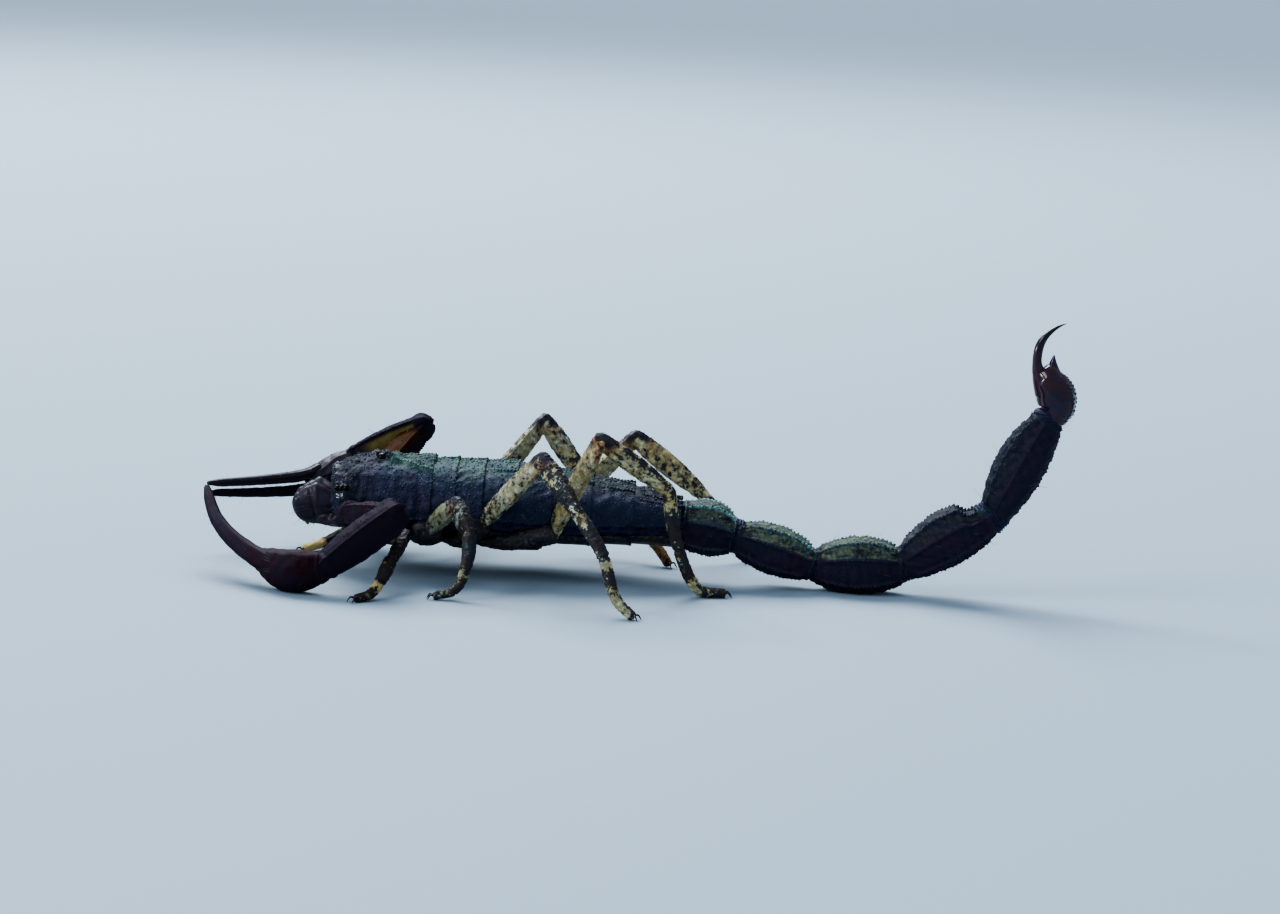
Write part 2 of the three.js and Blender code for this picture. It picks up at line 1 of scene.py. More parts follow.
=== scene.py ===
# %% [markdown]
# # A mottled bark scorpion, life size
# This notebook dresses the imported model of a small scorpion. The frame has 58 plain solids. Each cell
# below builds the real surface of one sort of piece: shell plates with their keels and grains, soft
# skin between them, jointed limbs, glossy eyes and sting, combs and bristles.
# Shapes are worked out in millimetres on the drawing board and brought into the frame at the end.

# %% Load the frame
import math

import bpy
import numpy as np
from mathutils import Matrix, Vector


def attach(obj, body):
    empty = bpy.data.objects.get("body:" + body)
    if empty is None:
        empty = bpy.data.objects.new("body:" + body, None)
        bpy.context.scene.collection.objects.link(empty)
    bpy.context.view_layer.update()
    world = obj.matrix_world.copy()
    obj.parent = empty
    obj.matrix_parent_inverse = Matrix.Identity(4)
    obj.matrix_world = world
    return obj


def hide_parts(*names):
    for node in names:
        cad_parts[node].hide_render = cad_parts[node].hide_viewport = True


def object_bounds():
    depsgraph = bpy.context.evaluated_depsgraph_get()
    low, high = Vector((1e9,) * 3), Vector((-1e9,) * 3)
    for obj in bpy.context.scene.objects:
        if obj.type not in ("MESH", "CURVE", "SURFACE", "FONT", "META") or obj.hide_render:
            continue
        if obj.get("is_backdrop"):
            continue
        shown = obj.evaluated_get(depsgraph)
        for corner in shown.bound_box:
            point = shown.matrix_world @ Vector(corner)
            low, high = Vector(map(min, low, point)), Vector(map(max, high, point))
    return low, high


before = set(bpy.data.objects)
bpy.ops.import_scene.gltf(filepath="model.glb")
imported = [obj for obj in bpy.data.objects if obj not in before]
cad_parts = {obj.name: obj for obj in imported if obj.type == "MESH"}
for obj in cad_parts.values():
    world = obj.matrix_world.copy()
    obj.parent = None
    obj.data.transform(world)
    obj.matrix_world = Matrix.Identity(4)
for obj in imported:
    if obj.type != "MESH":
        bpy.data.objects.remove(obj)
cad_low, cad_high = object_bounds()
print("the frame holds", len(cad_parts), "nodes, its box is", cad_high - cad_low)

# %% [markdown]
# ## Driving sizes
# The animal stands along X with its head at -X, and its left side is -Y. The tables give the joints
# of the limbs and the sections of trunk and tail in drawing millimetres. SHIFT carries the drawing's
# own origin to the frame's origin, which is under the middle of the whole animal.

# %% Driving sizes
MM = 0.001
SHIFT = np.array([0.21, 0.635, 0.0])
UP = np.array([0.0, 0.0, 1.0])
FLOOR_GAP = 0.02

CARAPACE = {"front": -18.35, "back": -12.35, "margin": 3.9}
MOUND = {"x": -15.4, "long": 1.0, "wide": 0.5, "high": 0.34}
TRUNK_BACK = 2.6
SEGMENT_SHARES = [0.09, 0.11, 0.13, 0.145, 0.155, 0.165, 0.205]
# x, half width, height of the back, height of the belly
TRUNK = [
    [-18.35, 1.8, 5.9, 2.85], [-17.0, 2.4, 6.5, 2.6], [-15.3, 2.8, 6.68, 2.3],
    [-12.35, 3.1, 6.7, 2.15], [-8.4, 3.4, 6.7, 2.1], [-4.7, 3.45, 6.4, 2.1],
    [-1.5, 3.05, 5.9, 2.25], [0.8, 2.4, 5.45, 2.3], [2.6, 1.65, 5.0, 2.2],
]
# x and z of the tail's joints, then half width and reach upwards and downwards of its segments
TAIL = [[2.6, 3.56], [5.85, 3.0], [10.8, 1.5], [16.15, 1.75], [21.3, 5.1], [24.15, 11.2]]
TAIL_SIZE = [[1.5, 1.95, 1.4], [1.45, 1.62, 1.3], [1.4, 1.85, 1.62], [1.38, 2.0, 1.38], [1.32, 1.6, 1.42]]
TAIL_NECK = 0.56
TELSON_END = [23.15, 14.3]

# joints of the pincer arms, the way the fingers open and the gap between them, then half width and half
# height of patella and hand and of a finger's root and tip
ARMS = {
    "left": {
        "coxa": [-17.0, -1.9, 3.4], "shoulder": [-16.8, -3.5, 3.75], "elbow": [-14.0, -7.1, 4.5],
        "wrist": [-17.75, -8.9, 1.6], "palm": [-19.8, -8.4, 1.22], "knuckle": [-21.3, -7.4, 1.5],
        "finger": [[-22.5, -6.3, 1.85], [-23.8, -4.95, 2.45], [-24.68, -3.7, 3.1], [-25.2, -2.6, 3.75],
                   [-25.5, -1.8, 4.3]],
        "gape": [0.14, -1, 0.2], "gap": 0.02, "patella": [0.95, 1.15], "hand": [1.0, 1.24],
        "root": [0.64, 0.42], "tip": [0.29, 0.24],
    },
    "right": {
        "coxa": [-17.0, 1.9, 3.4], "shoulder": [-16.5, 3.6, 4.0], "elbow": [-13.6, 7.0, 7.3],
        "wrist": [-17.85, 7.3, 5.15], "palm": [-19.1, 6.9, 4.35], "knuckle": [-20.1, 6.2, 3.85],
        "finger": [[-21.0, 5.4, 3.71], [-22.3, 4.2, 3.72], [-23.65, 3.1, 3.76], [-24.85, 2.1, 3.83],
                   [-25.8, 1.3, 3.9]],
        "gape": [0, 0, -1], "gap": 0.22, "patella": [0.92, 1.12], "hand": [1.0, 0.86],
        "root": [0.4, 0.38], "tip": [0.22, 0.2],
    },
}
ARM_SHOULDER, ARM_FEMUR = 0.8, [0.76, 0.84]

TOE_Z = 0.23
HIND_TOE_Z = 0.27
# hip, knee, shin top, ankle, instep and toe of each leg, front to back
LEGS = {
    "left": [
        [[-14.6, -2.5, 2.5], [-13.4, -5.6, 3.0], [-14.05, -7.6, 1.9], [-14.4, -8.7, 1.1],
         [-14.9, -9.6, 0.4], [-15.65, -10.25, TOE_Z]],
        [[-12.3, -2.9, 2.9], [-10.5, -5.6, 5.1], [-9.55, -7.1, 3.6], [-9.6, -7.9, 2.1],
         [-10.15, -8.3, 0.65], [-11.3, -8.45, TOE_Z]],
        [[-9.2, -3.0, 3.4], [-5.6, -6.4, 8.15], [-3.48, -8.4, 5.65], [-1.85, -9.65, 3.5],
         [-0.86, -10.4, 1.0], [0.05, -10.85, TOE_Z]],
        [[-4.95, -3.1, 3.15], [-2.3, -6.4, 9.5], [1.8, -5.25, 6.5], [2.35, -4.65, 3.6],
         [3.85, -4.05, 0.52], [5.35, -3.75, HIND_TOE_Z]],
    ],
    "right": [
        [[-14.6, 2.5, 2.5], [-14.2, 5.6, 4.3], [-15.9, 6.0, 2.5], [-17.6, 4.9, 1.2],
         [-19.0, 3.5, 0.5], [-20.15, 2.4, TOE_Z]],
        [[-12.3, 2.9, 2.9], [-10.9, 6.0, 5.0], [-10.4, 7.9, 3.4], [-10.7, 8.8, 1.7],
         [-11.3, 9.3, 0.55], [-12.4, 9.6, TOE_Z]],
        [[-9.9, 3.0, 3.4], [-6.0, 6.4, 8.3], [-3.3, 6.95, 4.55], [-0.9, 6.1, 2.7],
         [1.2, 4.6, 1.3], [2.1, 3.85, HIND_TOE_Z]],
        [[-4.95, 3.1, 3.15], [-0.35, 6.1, 7.6], [3.85, 6.5, 4.35], [5.7, 6.8, 2.4],
         [7.5, 7.0, 0.55], [9.0, 7.15, TOE_Z]],
    ],
}
# half width and half height of femur and patella for each pair of legs, then half the shin and the foot
LEG_SIZE = [
    {"femur": [0.4, 0.54], "patella": [0.46, 0.62]}, {"femur": [0.43, 0.58], "patella": [0.48, 0.67]},
    {"femur": [0.42, 0.6], "patella": [0.46, 0.64]}, {"femur": [0.44, 0.62], "patella": [0.48, 0.7]},
]
SHIN = 0.42
FOOT_GIRTH = [[0.32, 0.28, 0.24], [0.32, 0.28, 0.24], [0.35, 0.33, 0.28], [0.34, 0.35, 0.28]]
MEDIAN_EYE = {"x": -15.35, "y": 0.52, "z": 6.64, "r": 0.3}
LATERAL_EYES = {"first": [-17.8, 2.06, 4.97], "pitch": [0.27, 0.09, 0.04], "r": 0.19}
CHELICERA = {"root": [-17.9, 0.88, 3.95], "palm": [-19.2, 0.92, 3.85], "front": [-19.9, 0.9, 3.6],
             "half": [0.8, 1.14]}
COMB = {"root": [-8.1, 0.45, 1.78], "middle": [-7.2, 1.5, 1.9], "tip": [-5.7, 3.0, 2.25]}
straight_length = (TRUNK_BACK - CARAPACE["front"]) + sum(
    math.dist(a, b) for a, b in zip(TAIL, TAIL[1:] + [TELSON_END]))
print("laid straight the animal is about", round(straight_length, 1), "mm long")

# %% [markdown]
# ## Camera, floor and light
# A specimen this small is seen with a long lens from just above the table, so the animal shows almost
# in side view. The light is soft: a broad lamp behind and above for bright edges, as on an overcast
# day, and weaker ones that open the shade. A small lamp low at the head draws streaks on glossy shell,
# and a wide one far behind lights the backdrop.

# %% Camera, floor and light
CAMERA_PLACE = np.array([0.0, -177.2654, 38.7471])
CAMERA_DIP, CAMERA_ROLL = math.radians(10.0), math.radians(3.2)
FOCAL_PIXELS, IMAGE_WIDTH, SENSOR = 3011.0, 1280, 36.0
NEAREST, FARTHEST = 0.005, 20
COOL = (0.93, 0.97, 1.0)


def put(name, data):
    """A new object in the scene."""
    thing = bpy.data.objects.new(name, data)
    bpy.context.scene.collection.objects.link(thing)
    return thing


def make_camera():
    right = Vector((1, 0, 0))
    up = Vector((0, math.sin(CAMERA_DIP), math.cos(CAMERA_DIP)))
    back = Vector((0, -math.cos(CAMERA_DIP), math.sin(CAMERA_DIP)))
    rolled = right * math.cos(CAMERA_ROLL) + up * math.sin(CAMERA_ROLL)
    upright = up * math.cos(CAMERA_ROLL) - right * math.sin(CAMERA_ROLL)
    data = bpy.data.cameras.new("camera")
    data.sensor_width = SENSOR
    data.lens = FOCAL_PIXELS * SENSOR / IMAGE_WIDTH
    data.clip_start, data.clip_end = NEAREST, FARTHEST
    camera = put("camera", data)
    turn = Matrix((rolled, upright, back)).transposed().to_4x4()
    camera.matrix_world = Matrix.Translation(Vector((CAMERA_PLACE + SHIFT) * MM)) @ turn
    bpy.context.scene.camera = camera
    return camera


def area_lamp(name, place, size, watts, colour, aim=(0, 0, 0)):
    """A broad lamp at a place in metres, turned towards its aim, which is the animal if none is given."""
    data = bpy.data.lights.new(name, "AREA")
    data.shape, data.size, data.energy, data.color = "DISK", size, watts, colour
    lamp = put(name, data)
    lamp.location = place
    lamp.rotation_euler = (Vector(aim) - Vector(place)).to_track_quat("-Z", "Y").to_euler()


camera = make_camera()
area_lamp("lamp_behind", (-0.14, 0.36, 0.5), 0.46, 4.6, COOL)
area_lamp("lamp_glint", (-0.42, 0.34, 0.4), 0.12, 0.7, COOL)
area_lamp("lamp_left", (-0.45, -0.3, 0.42), 0.3, 1.3, (0.92, 0.97, 1.0))
area_lamp("lamp_streak", (-0.5, -0.14, 0.09), 0.11, 0.75, COOL)
area_lamp("lamp_backdrop", (0.0, 1.0, 1.7), 1.6, 30.0, (0.95, 0.98, 1.0), (0, 2.6, 0.5))
bpy.context.scene.view_settings.look = "AgX - High Contrast"
print("lens", round(camera.data.lens, 2), "mm, camera at", camera.location)

# %% [markdown]
# ## Writing nodes as sentences
# Node trees are easier to read as formulas. A Wire is one output of a node: sums and products of
# wires add Math nodes. A Net is the tree, and its one method `add` makes any other node from its
# type, its settings and what goes into its sockets.

# %% Wires and nets
class Wire:
    """One output of a node. Arithmetic on it adds Math nodes to its tree."""

    def __init__(self, net, socket):
        self.net, self.socket = net, socket

    def out(self, name):
        """Another output of the same node."""
        return Wire(self.net, self.socket.node.outputs[name])


def arithmetic(operation, turned):
    """A method of Wire that adds one Math node. turned puts the wire second."""
    def method(self, other):
        values = (other, self) if turned else (self, other)
        return self.net.add("ShaderNodeMath", {"operation": operation}, values)

    return method


for name, operation, turned in (
        ("__add__", "ADD", False), ("__radd__", "ADD", False), ("__sub__", "SUBTRACT", False),
        ("__rsub__", "SUBTRACT", True), ("__mul__", "MULTIPLY", False), ("__rmul__", "MULTIPLY", False),
        ("__truediv__", "DIVIDE", False), ("__rtruediv__", "DIVIDE", True), ("most", "MAXIMUM", False),
        ("least", "MINIMUM", False)):
    setattr(Wire, name, arithmetic(operation, turned))


class Net:
    """A node tree that is written line by line."""

    def __init__(self, tree):
        self.tree = tree
        tree.nodes.clear()

    def add(self, kind, settings=(), inputs=(), out=0):
        node = self.tree.nodes.new(kind)
        for name, value in dict(settings).items():
            if name == "stops":
                self.set_stops(node.color_ramp, value)
            else:
                setattr(node, name, value)
        pairs = inputs.items() if isinstance(inputs, dict) else enumerate(inputs)
        for key, value in pairs:
            if isinstance(value, Wire):
                self.tree.links.new(value.socket, node.inputs[key])
            else:
                node.inputs[key].default_value = value
        return Wire(self, node.outputs[out]) if len(node.outputs) else node

    @staticmethod
    def set_stops(ramp, stops):
        while len(ramp.elements) < len(stops):
            ramp.elements.new(0.5)
        for element, (place, colour) in zip(ramp.elements, stops):
            element.position = place
            element.color = (*colour, 1)

    def takes(self, *inputs):
        """The named inputs of a node group, each given as name, kind and, where it has one, default."""
        for name, kind, *default in inputs:
            item = self.tree.interface.new_socket(
                name=name, in_out="INPUT", socket_type="NodeSocket" + kind)
            if default:
                item.default_value = default[0]
        source = self.tree.nodes.new("NodeGroupInput")
        return [Wire(self, source.outputs[given[0]]) for given in inputs]

    def gives(self, geometry, finish):
        """The group's output: the geometry with its material set."""
        self.tree.interface.new_socket(name="Geometry", in_out="OUTPUT", socket_type="NodeSocketGeometry")
        geometry = self.add("GeometryNodeSetMaterial", {}, {"Geometry": geometry, "Material": finish})
        self.add("NodeGroupOutput", inputs=[geometry])
        return self.tree

    def ring(self, sides):
        return self.add("GeometryNodeCurvePrimitiveCircle", {"mode": "RADIUS"},
                        {"Resolution": sides, "Radius": 1.0})

    def vector(self, operation, *values):
        return self.add("ShaderNodeVectorMath", {"operation": operation}, dict(enumerate(values)))

    def scaled(self, vector, scale):
        return self.add("ShaderNodeVectorMath", {"operation": "SCALE"}, {0: vector, "Scale": scale})

    def attribute(self, name, kind="FLOAT"):
        return self.add("GeometryNodeInputNamedAttribute", {"data_type": kind}, {"Name": name})

    def store(self, geometry, name, value, kind="FLOAT", domain="POINT"):
        return self.add("GeometryNodeStoreNamedAttribute", {"data_type": kind, "domain": domain},
                        {"Geometry": geometry, "Name": name, "Value": value})


def fit(modifier, **values):
    """Sets a Geometry Nodes modifier's inputs by name, through each socket's identifier."""
    for item in modifier.node_group.interface.items_tree:
        key = item.name.replace(" ", "_").lower()
        if item.in_out == "INPUT" and key in values:
            value = values.pop(key)
            modifier[item.identifier] = float(value) if item.socket_type == "NodeSocketFloat" else value
    assert not values, f"no such inputs: {list(values)}"


print("nets ready")

# %% [markdown]
# ## Colours and finishes
# A scorpion's shell is hard cuticle. It is nearly black here with a blue or purple cast, wears paler
# on its raised grains, and has a waxy gloss broken by very fine pits. The legs are cream with dark
# blotches. Every finish is worked out from Object coordinates (in metres, so they are multiplied to
# millimetres) and from numbers that the pieces carry on their points:
# `raised` is 1 on grains and keels, `reach` counts along a leg, `along` along tail and sting.

# %% The shader helper
def tint(code):
    """A colour written as on the web, as the linear numbers that shaders want."""
    parts = [int(code[i:i + 2], 16) / 255 for i in (1, 3, 5)]
    return tuple(c / 12.92 if c <= 0.04045 else ((c + 0.055) / 1.055) ** 2.4 for c in parts) + (1.0,)


class Finish(Net):
    """A material's tree, with the words that the finishes below share. Colours may be web codes."""

    def __init__(self, name):
        self.material = bpy.data.materials.new(name)
        self.material.use_nodes = True
        super().__init__(self.material.node_tree)
        place = self.add("ShaderNodeTexCoord", out="Object")
        self.place = self.scaled(place, 1 / MM)

    def mark(self, name):
        """A number that the mesh carries on its points."""
        return self.add("ShaderNodeAttribute", {"attribute_name": name}, out="Fac")

    def noise(self, size, detail=3.0, rough=0.55, stretch=None, seed=0.0):
        """Soft random clouds about size millimetres across, from 0 to 1."""
        place = self.place
        if stretch:
            place = self.vector("MULTIPLY", place, stretch)
        return self.add("ShaderNodeTexNoise", {"noise_dimensions": "4D"},
                        {"Vector": place, "W": seed, "Scale": 1 / size, "Detail": detail, "Roughness": rough})

    def cells(self, size):
        """Rounded cells about size millimetres across, 0 in their middles."""
        return self.add("ShaderNodeTexVoronoi", {}, {"Vector": self.place, "Scale": 1 / size}, out="Distance")

    def between(self, value, low, high):
        """0 below low, 1 above high, with a soft ramp between them."""
        return self.add("ShaderNodeMapRange", {"interpolation_type": "SMOOTHSTEP"},
                        {"Value": value, "From Min": low, "From Max": high})

    def blend(self, share, under, over):
        """The colour under where share is 0, and the colour over where it is 1."""
        under, over = (tint(c) if isinstance(c, str) else c for c in (under, over))
        return self.add("ShaderNodeMix", {"data_type": "RGBA"}, {0: share, 6: under, 7: over}, 2)

    def fade(self, value, low, high, under, over):
        """The colour goes from under to over as value rises from low to high."""
        return self.blend(self.between(value, low, high), under, over)

    def pitted(self, height, depth_mm, strength=0.6):
        """A fine relief of the surface that only light can see."""
        return self.add("ShaderNodeBump", {},
                        {"Height": height, "Strength": strength, "Distance": depth_mm * MM})

    def surface(self, **sockets):
        names = {key.replace("_", " ").title().replace("Ior", "IOR"): v for key, v in sockets.items()}
        shader = self.add("ShaderNodeBsdfPrincipled", {}, names)
        self.add("ShaderNodeOutputMaterial", {}, [shader])
        return self.material


print("the darkest back shell is", [round(c, 4) for c in tint("#141722")[:3]])

# %% [markdown]
# ### Shell plates of the back
# Plates of the back are granular. The grains are real geometry, so the finish only has to colour
# them: blue-black in the hollows, grey-green on rubbed grains and on the faces that look up. That
# grey-green is partly a thin film of dust and partly a painted sky sheen. `night` darkens the front
# of the head and the rear of the back, `dusty` says where the dust lies and `height` where the
# painted sheen lies, and `shine` is waxy. The tail has `crown`, `face`, `olive` and `pale` for the
# colours between and on its keels: its lower sides are painted lighter as fill light, its upper keels
# carry pale teal that is partly a painted glint, and its olive fades to the lower side as painted
# shade. Faint scuffs and flecks break up the black.

# %% Shell finishes
def back_shell_finish():
    f = Finish("back_shell")
    cloud = f.noise(1.6, 4)
    speck = f.noise(0.22, 3, seed=2.0)
    dark = f.fade(cloud, 0.35, 0.7, "#2e3648", "#363349")
    olive = f.fade(f.noise(0.9, 3, seed=5.0), 0.4, 0.65, "#33564f", "#667f6c")
    height, dusty = f.mark("height"), f.mark("dusty")
    dark = f.blend(f.mark("night"), dark, "#141722")
    # `height` is 1 on faces that look up: their paler grey-green is partly dust and partly a painted sky
    # sheen
    olive = f.fade(height, 0.2, 0.6, "#434e5b", olive)
    raised_tint = f.mark("raised") * (0.3 + 0.7 * f.between(speck, 0.35, 0.6)) * (0.3 + 0.7 * dusty)
    pale_lift = f.between(height, 0.3, 1.0) * f.between(speck + cloud * 0.5, 0.5, 0.9) * dusty
    colour = f.blend((raised_tint * (0.45 + 0.55 * height) + pale_lift * 0.6).least(1.0), dark, olive)
    fleck = f.between(f.noise(0.15, 3, seed=8.0), 0.56, 0.68)
    fleck = fleck * f.between(f.noise(0.9, 2, seed=3.0), 0.4, 0.58)
    fleck = fleck * 0.65 * (0.35 + 0.65 * dusty)
    colour = f.blend(fleck, colour, f.fade(height, 0.2, 0.6, "#5c6888", "#5b8486"))
    scuff = f.between(f.noise(0.34, 4, 0.65, seed=12.0), 0.56, 0.66) * f.between(dusty, 0.75, 0.35)
    colour = f.blend(scuff * 0.16, colour, "#66758a")
    waxy = (f.mark("shine") + 0.3 * f.mark("raised") * f.between(dusty, 0.6, 0.3)).least(1.0)
    return f.surface(
        base_color=colour,
        roughness=(0.52 + 0.2 * speck - 0.12 * f.mark("raised")) * (1 - 0.6 * waxy),
        normal=f.pitted(f.cells(0.06) * 0.5 + f.noise(0.035, 2), 0.012),
        specular_ior_level=0.18, coat_weight=0.5 * waxy, coat_roughness=0.12)


def tail_shell_finish():
    f = Finish("tail_shell")
    along, crown = f.mark("along"), f.mark("crown")
    cloud = f.noise(1.1, 4, seed=1.0)
    speck = f.noise(0.2, 3, seed=4.0)
    streak = f.noise(0.5, 3, stretch=(0.35, 1.0, 1.6), seed=7.0)
    dark = f.fade(cloud, 0.3, 0.7, "#191f30", "#221c31")
    dark = f.blend(f.mark("olive") * 0.7, dark, "#2a2630")
    # painted fill light: the lower sides, where `crown` is low, are lighter than the upper ones
    dark = f.blend(crown, f.fade(cloud, 0.3, 0.7, "#2a2a3b", "#33283a"), dark)
    # faces between the upper keels are olive on the middle segments, fading towards the sting and, as painted
    # shade, towards the lower side
    face = f.between(f.mark("face"), 0.12, 0.5) * f.mark("olive")
    olive = f.fade(speck, 0.4, 0.65, "#4c5f5c", "#747554")
    colour = f.blend(face * f.between(streak + speck * 0.3, 0.45, 0.75) * 0.9, dark, olive)
    # pale teal on the upper keels, partly their own pale colour and partly a painted glint; on the fourth
    # segment's flange it is a painted highlight
    raised_tint = f.mark("raised") * f.between(speck, 0.3, 0.55) * (0.1 + 0.9 * crown) * f.mark("pale")
    colour = f.blend(raised_tint.least(1.0), colour, "#7b9c98")
    rusty = f.between(f.noise(0.5, 2, seed=9.0), 0.6, 0.75) * f.between(along, 0.6, 1.0)
    colour = f.blend(rusty * 0.35, colour, "#2e1714")
    return f.surface(
        base_color=colour,
        roughness=0.54 + 0.2 * speck - 0.16 * f.mark("raised"),
        normal=f.pitted(f.cells(0.07) * 0.5 + f.noise(0.04, 2), 0.012),
        specular_ior_level=0.14)


def belly_shell_finish():
    f = Finish("belly_shell")
    cloud = f.noise(1.4, 3, seed=6.0)
    colour = f.fade(cloud, 0.35, 0.7, "#2b2b36", "#43352c")
    speck = f.noise(0.25, 3, seed=7.0)
    colour = f.blend(f.between(speck, 0.5, 0.7) * 0.6, colour, "#6b6a60")
    return f.surface(
        base_color=colour, roughness=0.36 + 0.2 * speck,
        normal=f.pitted(f.cells(0.09), 0.01), specular_ior_level=0.28)


FINISH = {
    "back_shell": back_shell_finish(),
    "tail_shell": tail_shell_finish(),
    "belly_shell": belly_shell_finish(),
}
print("finishes so far:", list(FINISH))

# %% [markdown]
# ### Pincers, sting, eyes and soft skin
# The pincer arms are smoother than the back, purple-black, reddish on the swollen near hand; on the
# near femur the darker red is partly painted shade. The far hand and the jaws are glossier, and the
# jaws, which lie in shade, get a faint grey-blue painted fill light. On the far arm the patella's thin
# hollow side and the femur's lit top are olive to orange-brown (`pale` and `warm`), partly paler
# cuticle and partly painted light from behind that glows through the thin wall. The sting is a
# polished dark red-brown horn. Eyes are clear black lenses. Joint skin is matt and folded.

# %% Pincer, sting, eye, skin and bristle finishes
def pincer_finish(name, pale_lift, gloss):
    """The second number is how much painted grey-blue fill light lightens a shell that lies in shade, gloss
    how polished it is.
    """
    f = Finish(name)
    cloud = f.noise(1.3, 4, seed=2.5)
    speck = f.noise(0.18, 3, seed=3.5)
    dark = f.fade(cloud, 0.3, 0.7, "#24202f", "#2e2432")
    red = f.fade(speck, 0.35, 0.7, "#220d1b", "#33131f")
    colour = f.blend(f.mark("ruddy") * f.between(cloud + speck * 0.3, 0.4, 0.8), dark, red)
    # on the far arm `pale` faces are partly paler cuticle and partly painted light from behind, which glows
    # through the thin patella and lights the femur's top
    pale = f.fade(f.mark("warm") + cloud * 0.5 - 0.25, 0.1, 0.8, "#665b36", "#42250f")
    pale = f.blend(f.between(speck, 0.55, 0.75) * 0.5, pale, "#2b1c12")
    colour = f.blend(f.mark("pale") * f.between(speck + cloud * 0.5, 0.35, 0.6), colour, pale)
    raised_tint = f.mark("raised") * (1 - f.mark("pale")) * f.between(speck, 0.4, 0.65)
    colour = f.blend(raised_tint * 0.3, colour, "#343648")
    # painted fill light: a grey-blue lift of the colour, which the jaws get because they lie in shade
    colour = f.blend(f.between(cloud * 0.6 + speck * 0.6, 0.35, 0.8) * pale_lift, colour, "#5b6076")
    return f.surface(
        base_color=colour,
        roughness=0.58 - 0.3 * gloss + 0.2 * speck - 0.1 * f.mark("ruddy"),
        normal=f.pitted(f.cells(0.08) * 0.6 + f.noise(0.05, 2) * 0.6, 0.008 * (1 - gloss)),
        specular_ior_level=0.1 + 0.28 * gloss, coat_weight=0.35 * gloss, coat_roughness=0.1)


def sting_finish():
    f = Finish("sting_shell")
    height = f.mark("along")
    cloud = f.noise(0.7, 3, seed=1.5)
    bulb = f.fade(cloud, 0.3, 0.7, "#1d1530", "#3a1219")
    point = f.fade(height, 1.25, 1.8, "#3a1628", "#0a0710")
    colour = f.fade(height, 0.85, 1.15, bulb, point)
    colour = f.blend(f.between(f.noise(0.16, 2, seed=2.2), 0.6, 0.72) * 0.35, colour, "#2a2036")
    return f.surface(
        base_color=colour, roughness=0.17 + 0.08 * cloud,
        normal=f.pitted(f.cells(0.11), 0.003), specular_ior_level=0.4,
        coat_weight=0.35, coat_roughness=0.06)


def eye_finish():
    f = Finish("eye_lens")
    glow = f.fade(f.noise(0.2, 2), 0.4, 0.6, "#050304", "#020305")
    return f.surface(base_color=glow, roughness=0.06 + 0.04 * f.noise(0.1), specular_ior_level=0.16,
                     coat_weight=0.16, coat_roughness=0.03)


def skin_finish():
    f = Finish("skin")
    cloud = f.noise(0.8, 4, seed=4.4)
    speck = f.noise(0.12, 3, seed=5.5)
    colour = f.fade(cloud, 0.3, 0.65, "#1c2847", "#2e2a44")
    fleck = f.between(speck, 0.62, 0.72) * f.between(f.noise(0.6, 2, seed=6.6), 0.45, 0.6)
    colour = f.blend(fleck * 0.7, colour, "#5f7a7c")
    colour = f.blend(f.between(f.mark("low"), 0.2, 0.9) * 0.6, colour, "#3a2e26")
    folds = f.noise(0.16, 3, stretch=(2.2, 0.6, 0.6), seed=7.7)
    return f.surface(base_color=colour, roughness=0.5 + 0.2 * speck,
                     normal=f.pitted(folds + f.cells(0.07) * 0.4, 0.03, 0.8), specular_ior_level=0.28)


def joint_skin_finish():
    f = Finish("joint_skin")
    cloud = f.noise(0.3, 3, seed=8.8)
    colour = f.fade(cloud, 0.35, 0.65, "#1c150f", "#574a35")
    folds = f.noise(0.09, 2, stretch=(1.5, 1.5, 1.5), seed=9.9)
    return f.surface(base_color=colour, roughness=0.42 + 0.2 * cloud,
                     normal=f.pitted(folds, 0.02, 0.8), specular_ior_level=0.3)


def bristle_finish():
    f = Finish("bristle")
    colour = f.fade(f.noise(0.9, 2), 0.4, 0.6, "#3f3c37", "#7d807a")
    return f.surface(base_color=colour, roughness=0.3 + 0.1 * f.noise(0.4), specular_ior_level=0.5)


FINISH.update({
    "pincer_shell": pincer_finish("pincer_shell", 0.0, 0),
    "far_hand": pincer_finish("far_hand_shell", 0.0, 0.5),
    # the jaws lie in shade, so a little painted fill light lightens them
    "jaw": pincer_finish("jaw_shell", 0.1, 0.5),
    "sting_shell": sting_finish(),
    "eye": eye_finish(),
    "skin": skin_finish(),
    "joint_skin": joint_skin_finish(),
    "bristle": bristle_finish(),
})
print("finishes so far:", list(FINISH))

# %% [markdown]
# ### Mottled legs
# Each leg is cream with dark brown blotches in rows. The knee is blue-black on top with an orange
# tinge beside it, the shin is dark with a beige ring at each end, and the foot is tawny. `reach`
# counts the articles from the hip: 0 to 1 is the femur, 1 to 2 the patella, 2 to 3 the tibia, 3 to 4
# the basitarsus and 4 to 5 the tarsus. `sombre` adds dark, `cream` pales the feet of the first legs and
# `tawny` colours a far foot. One function makes a finish for each pair of legs.

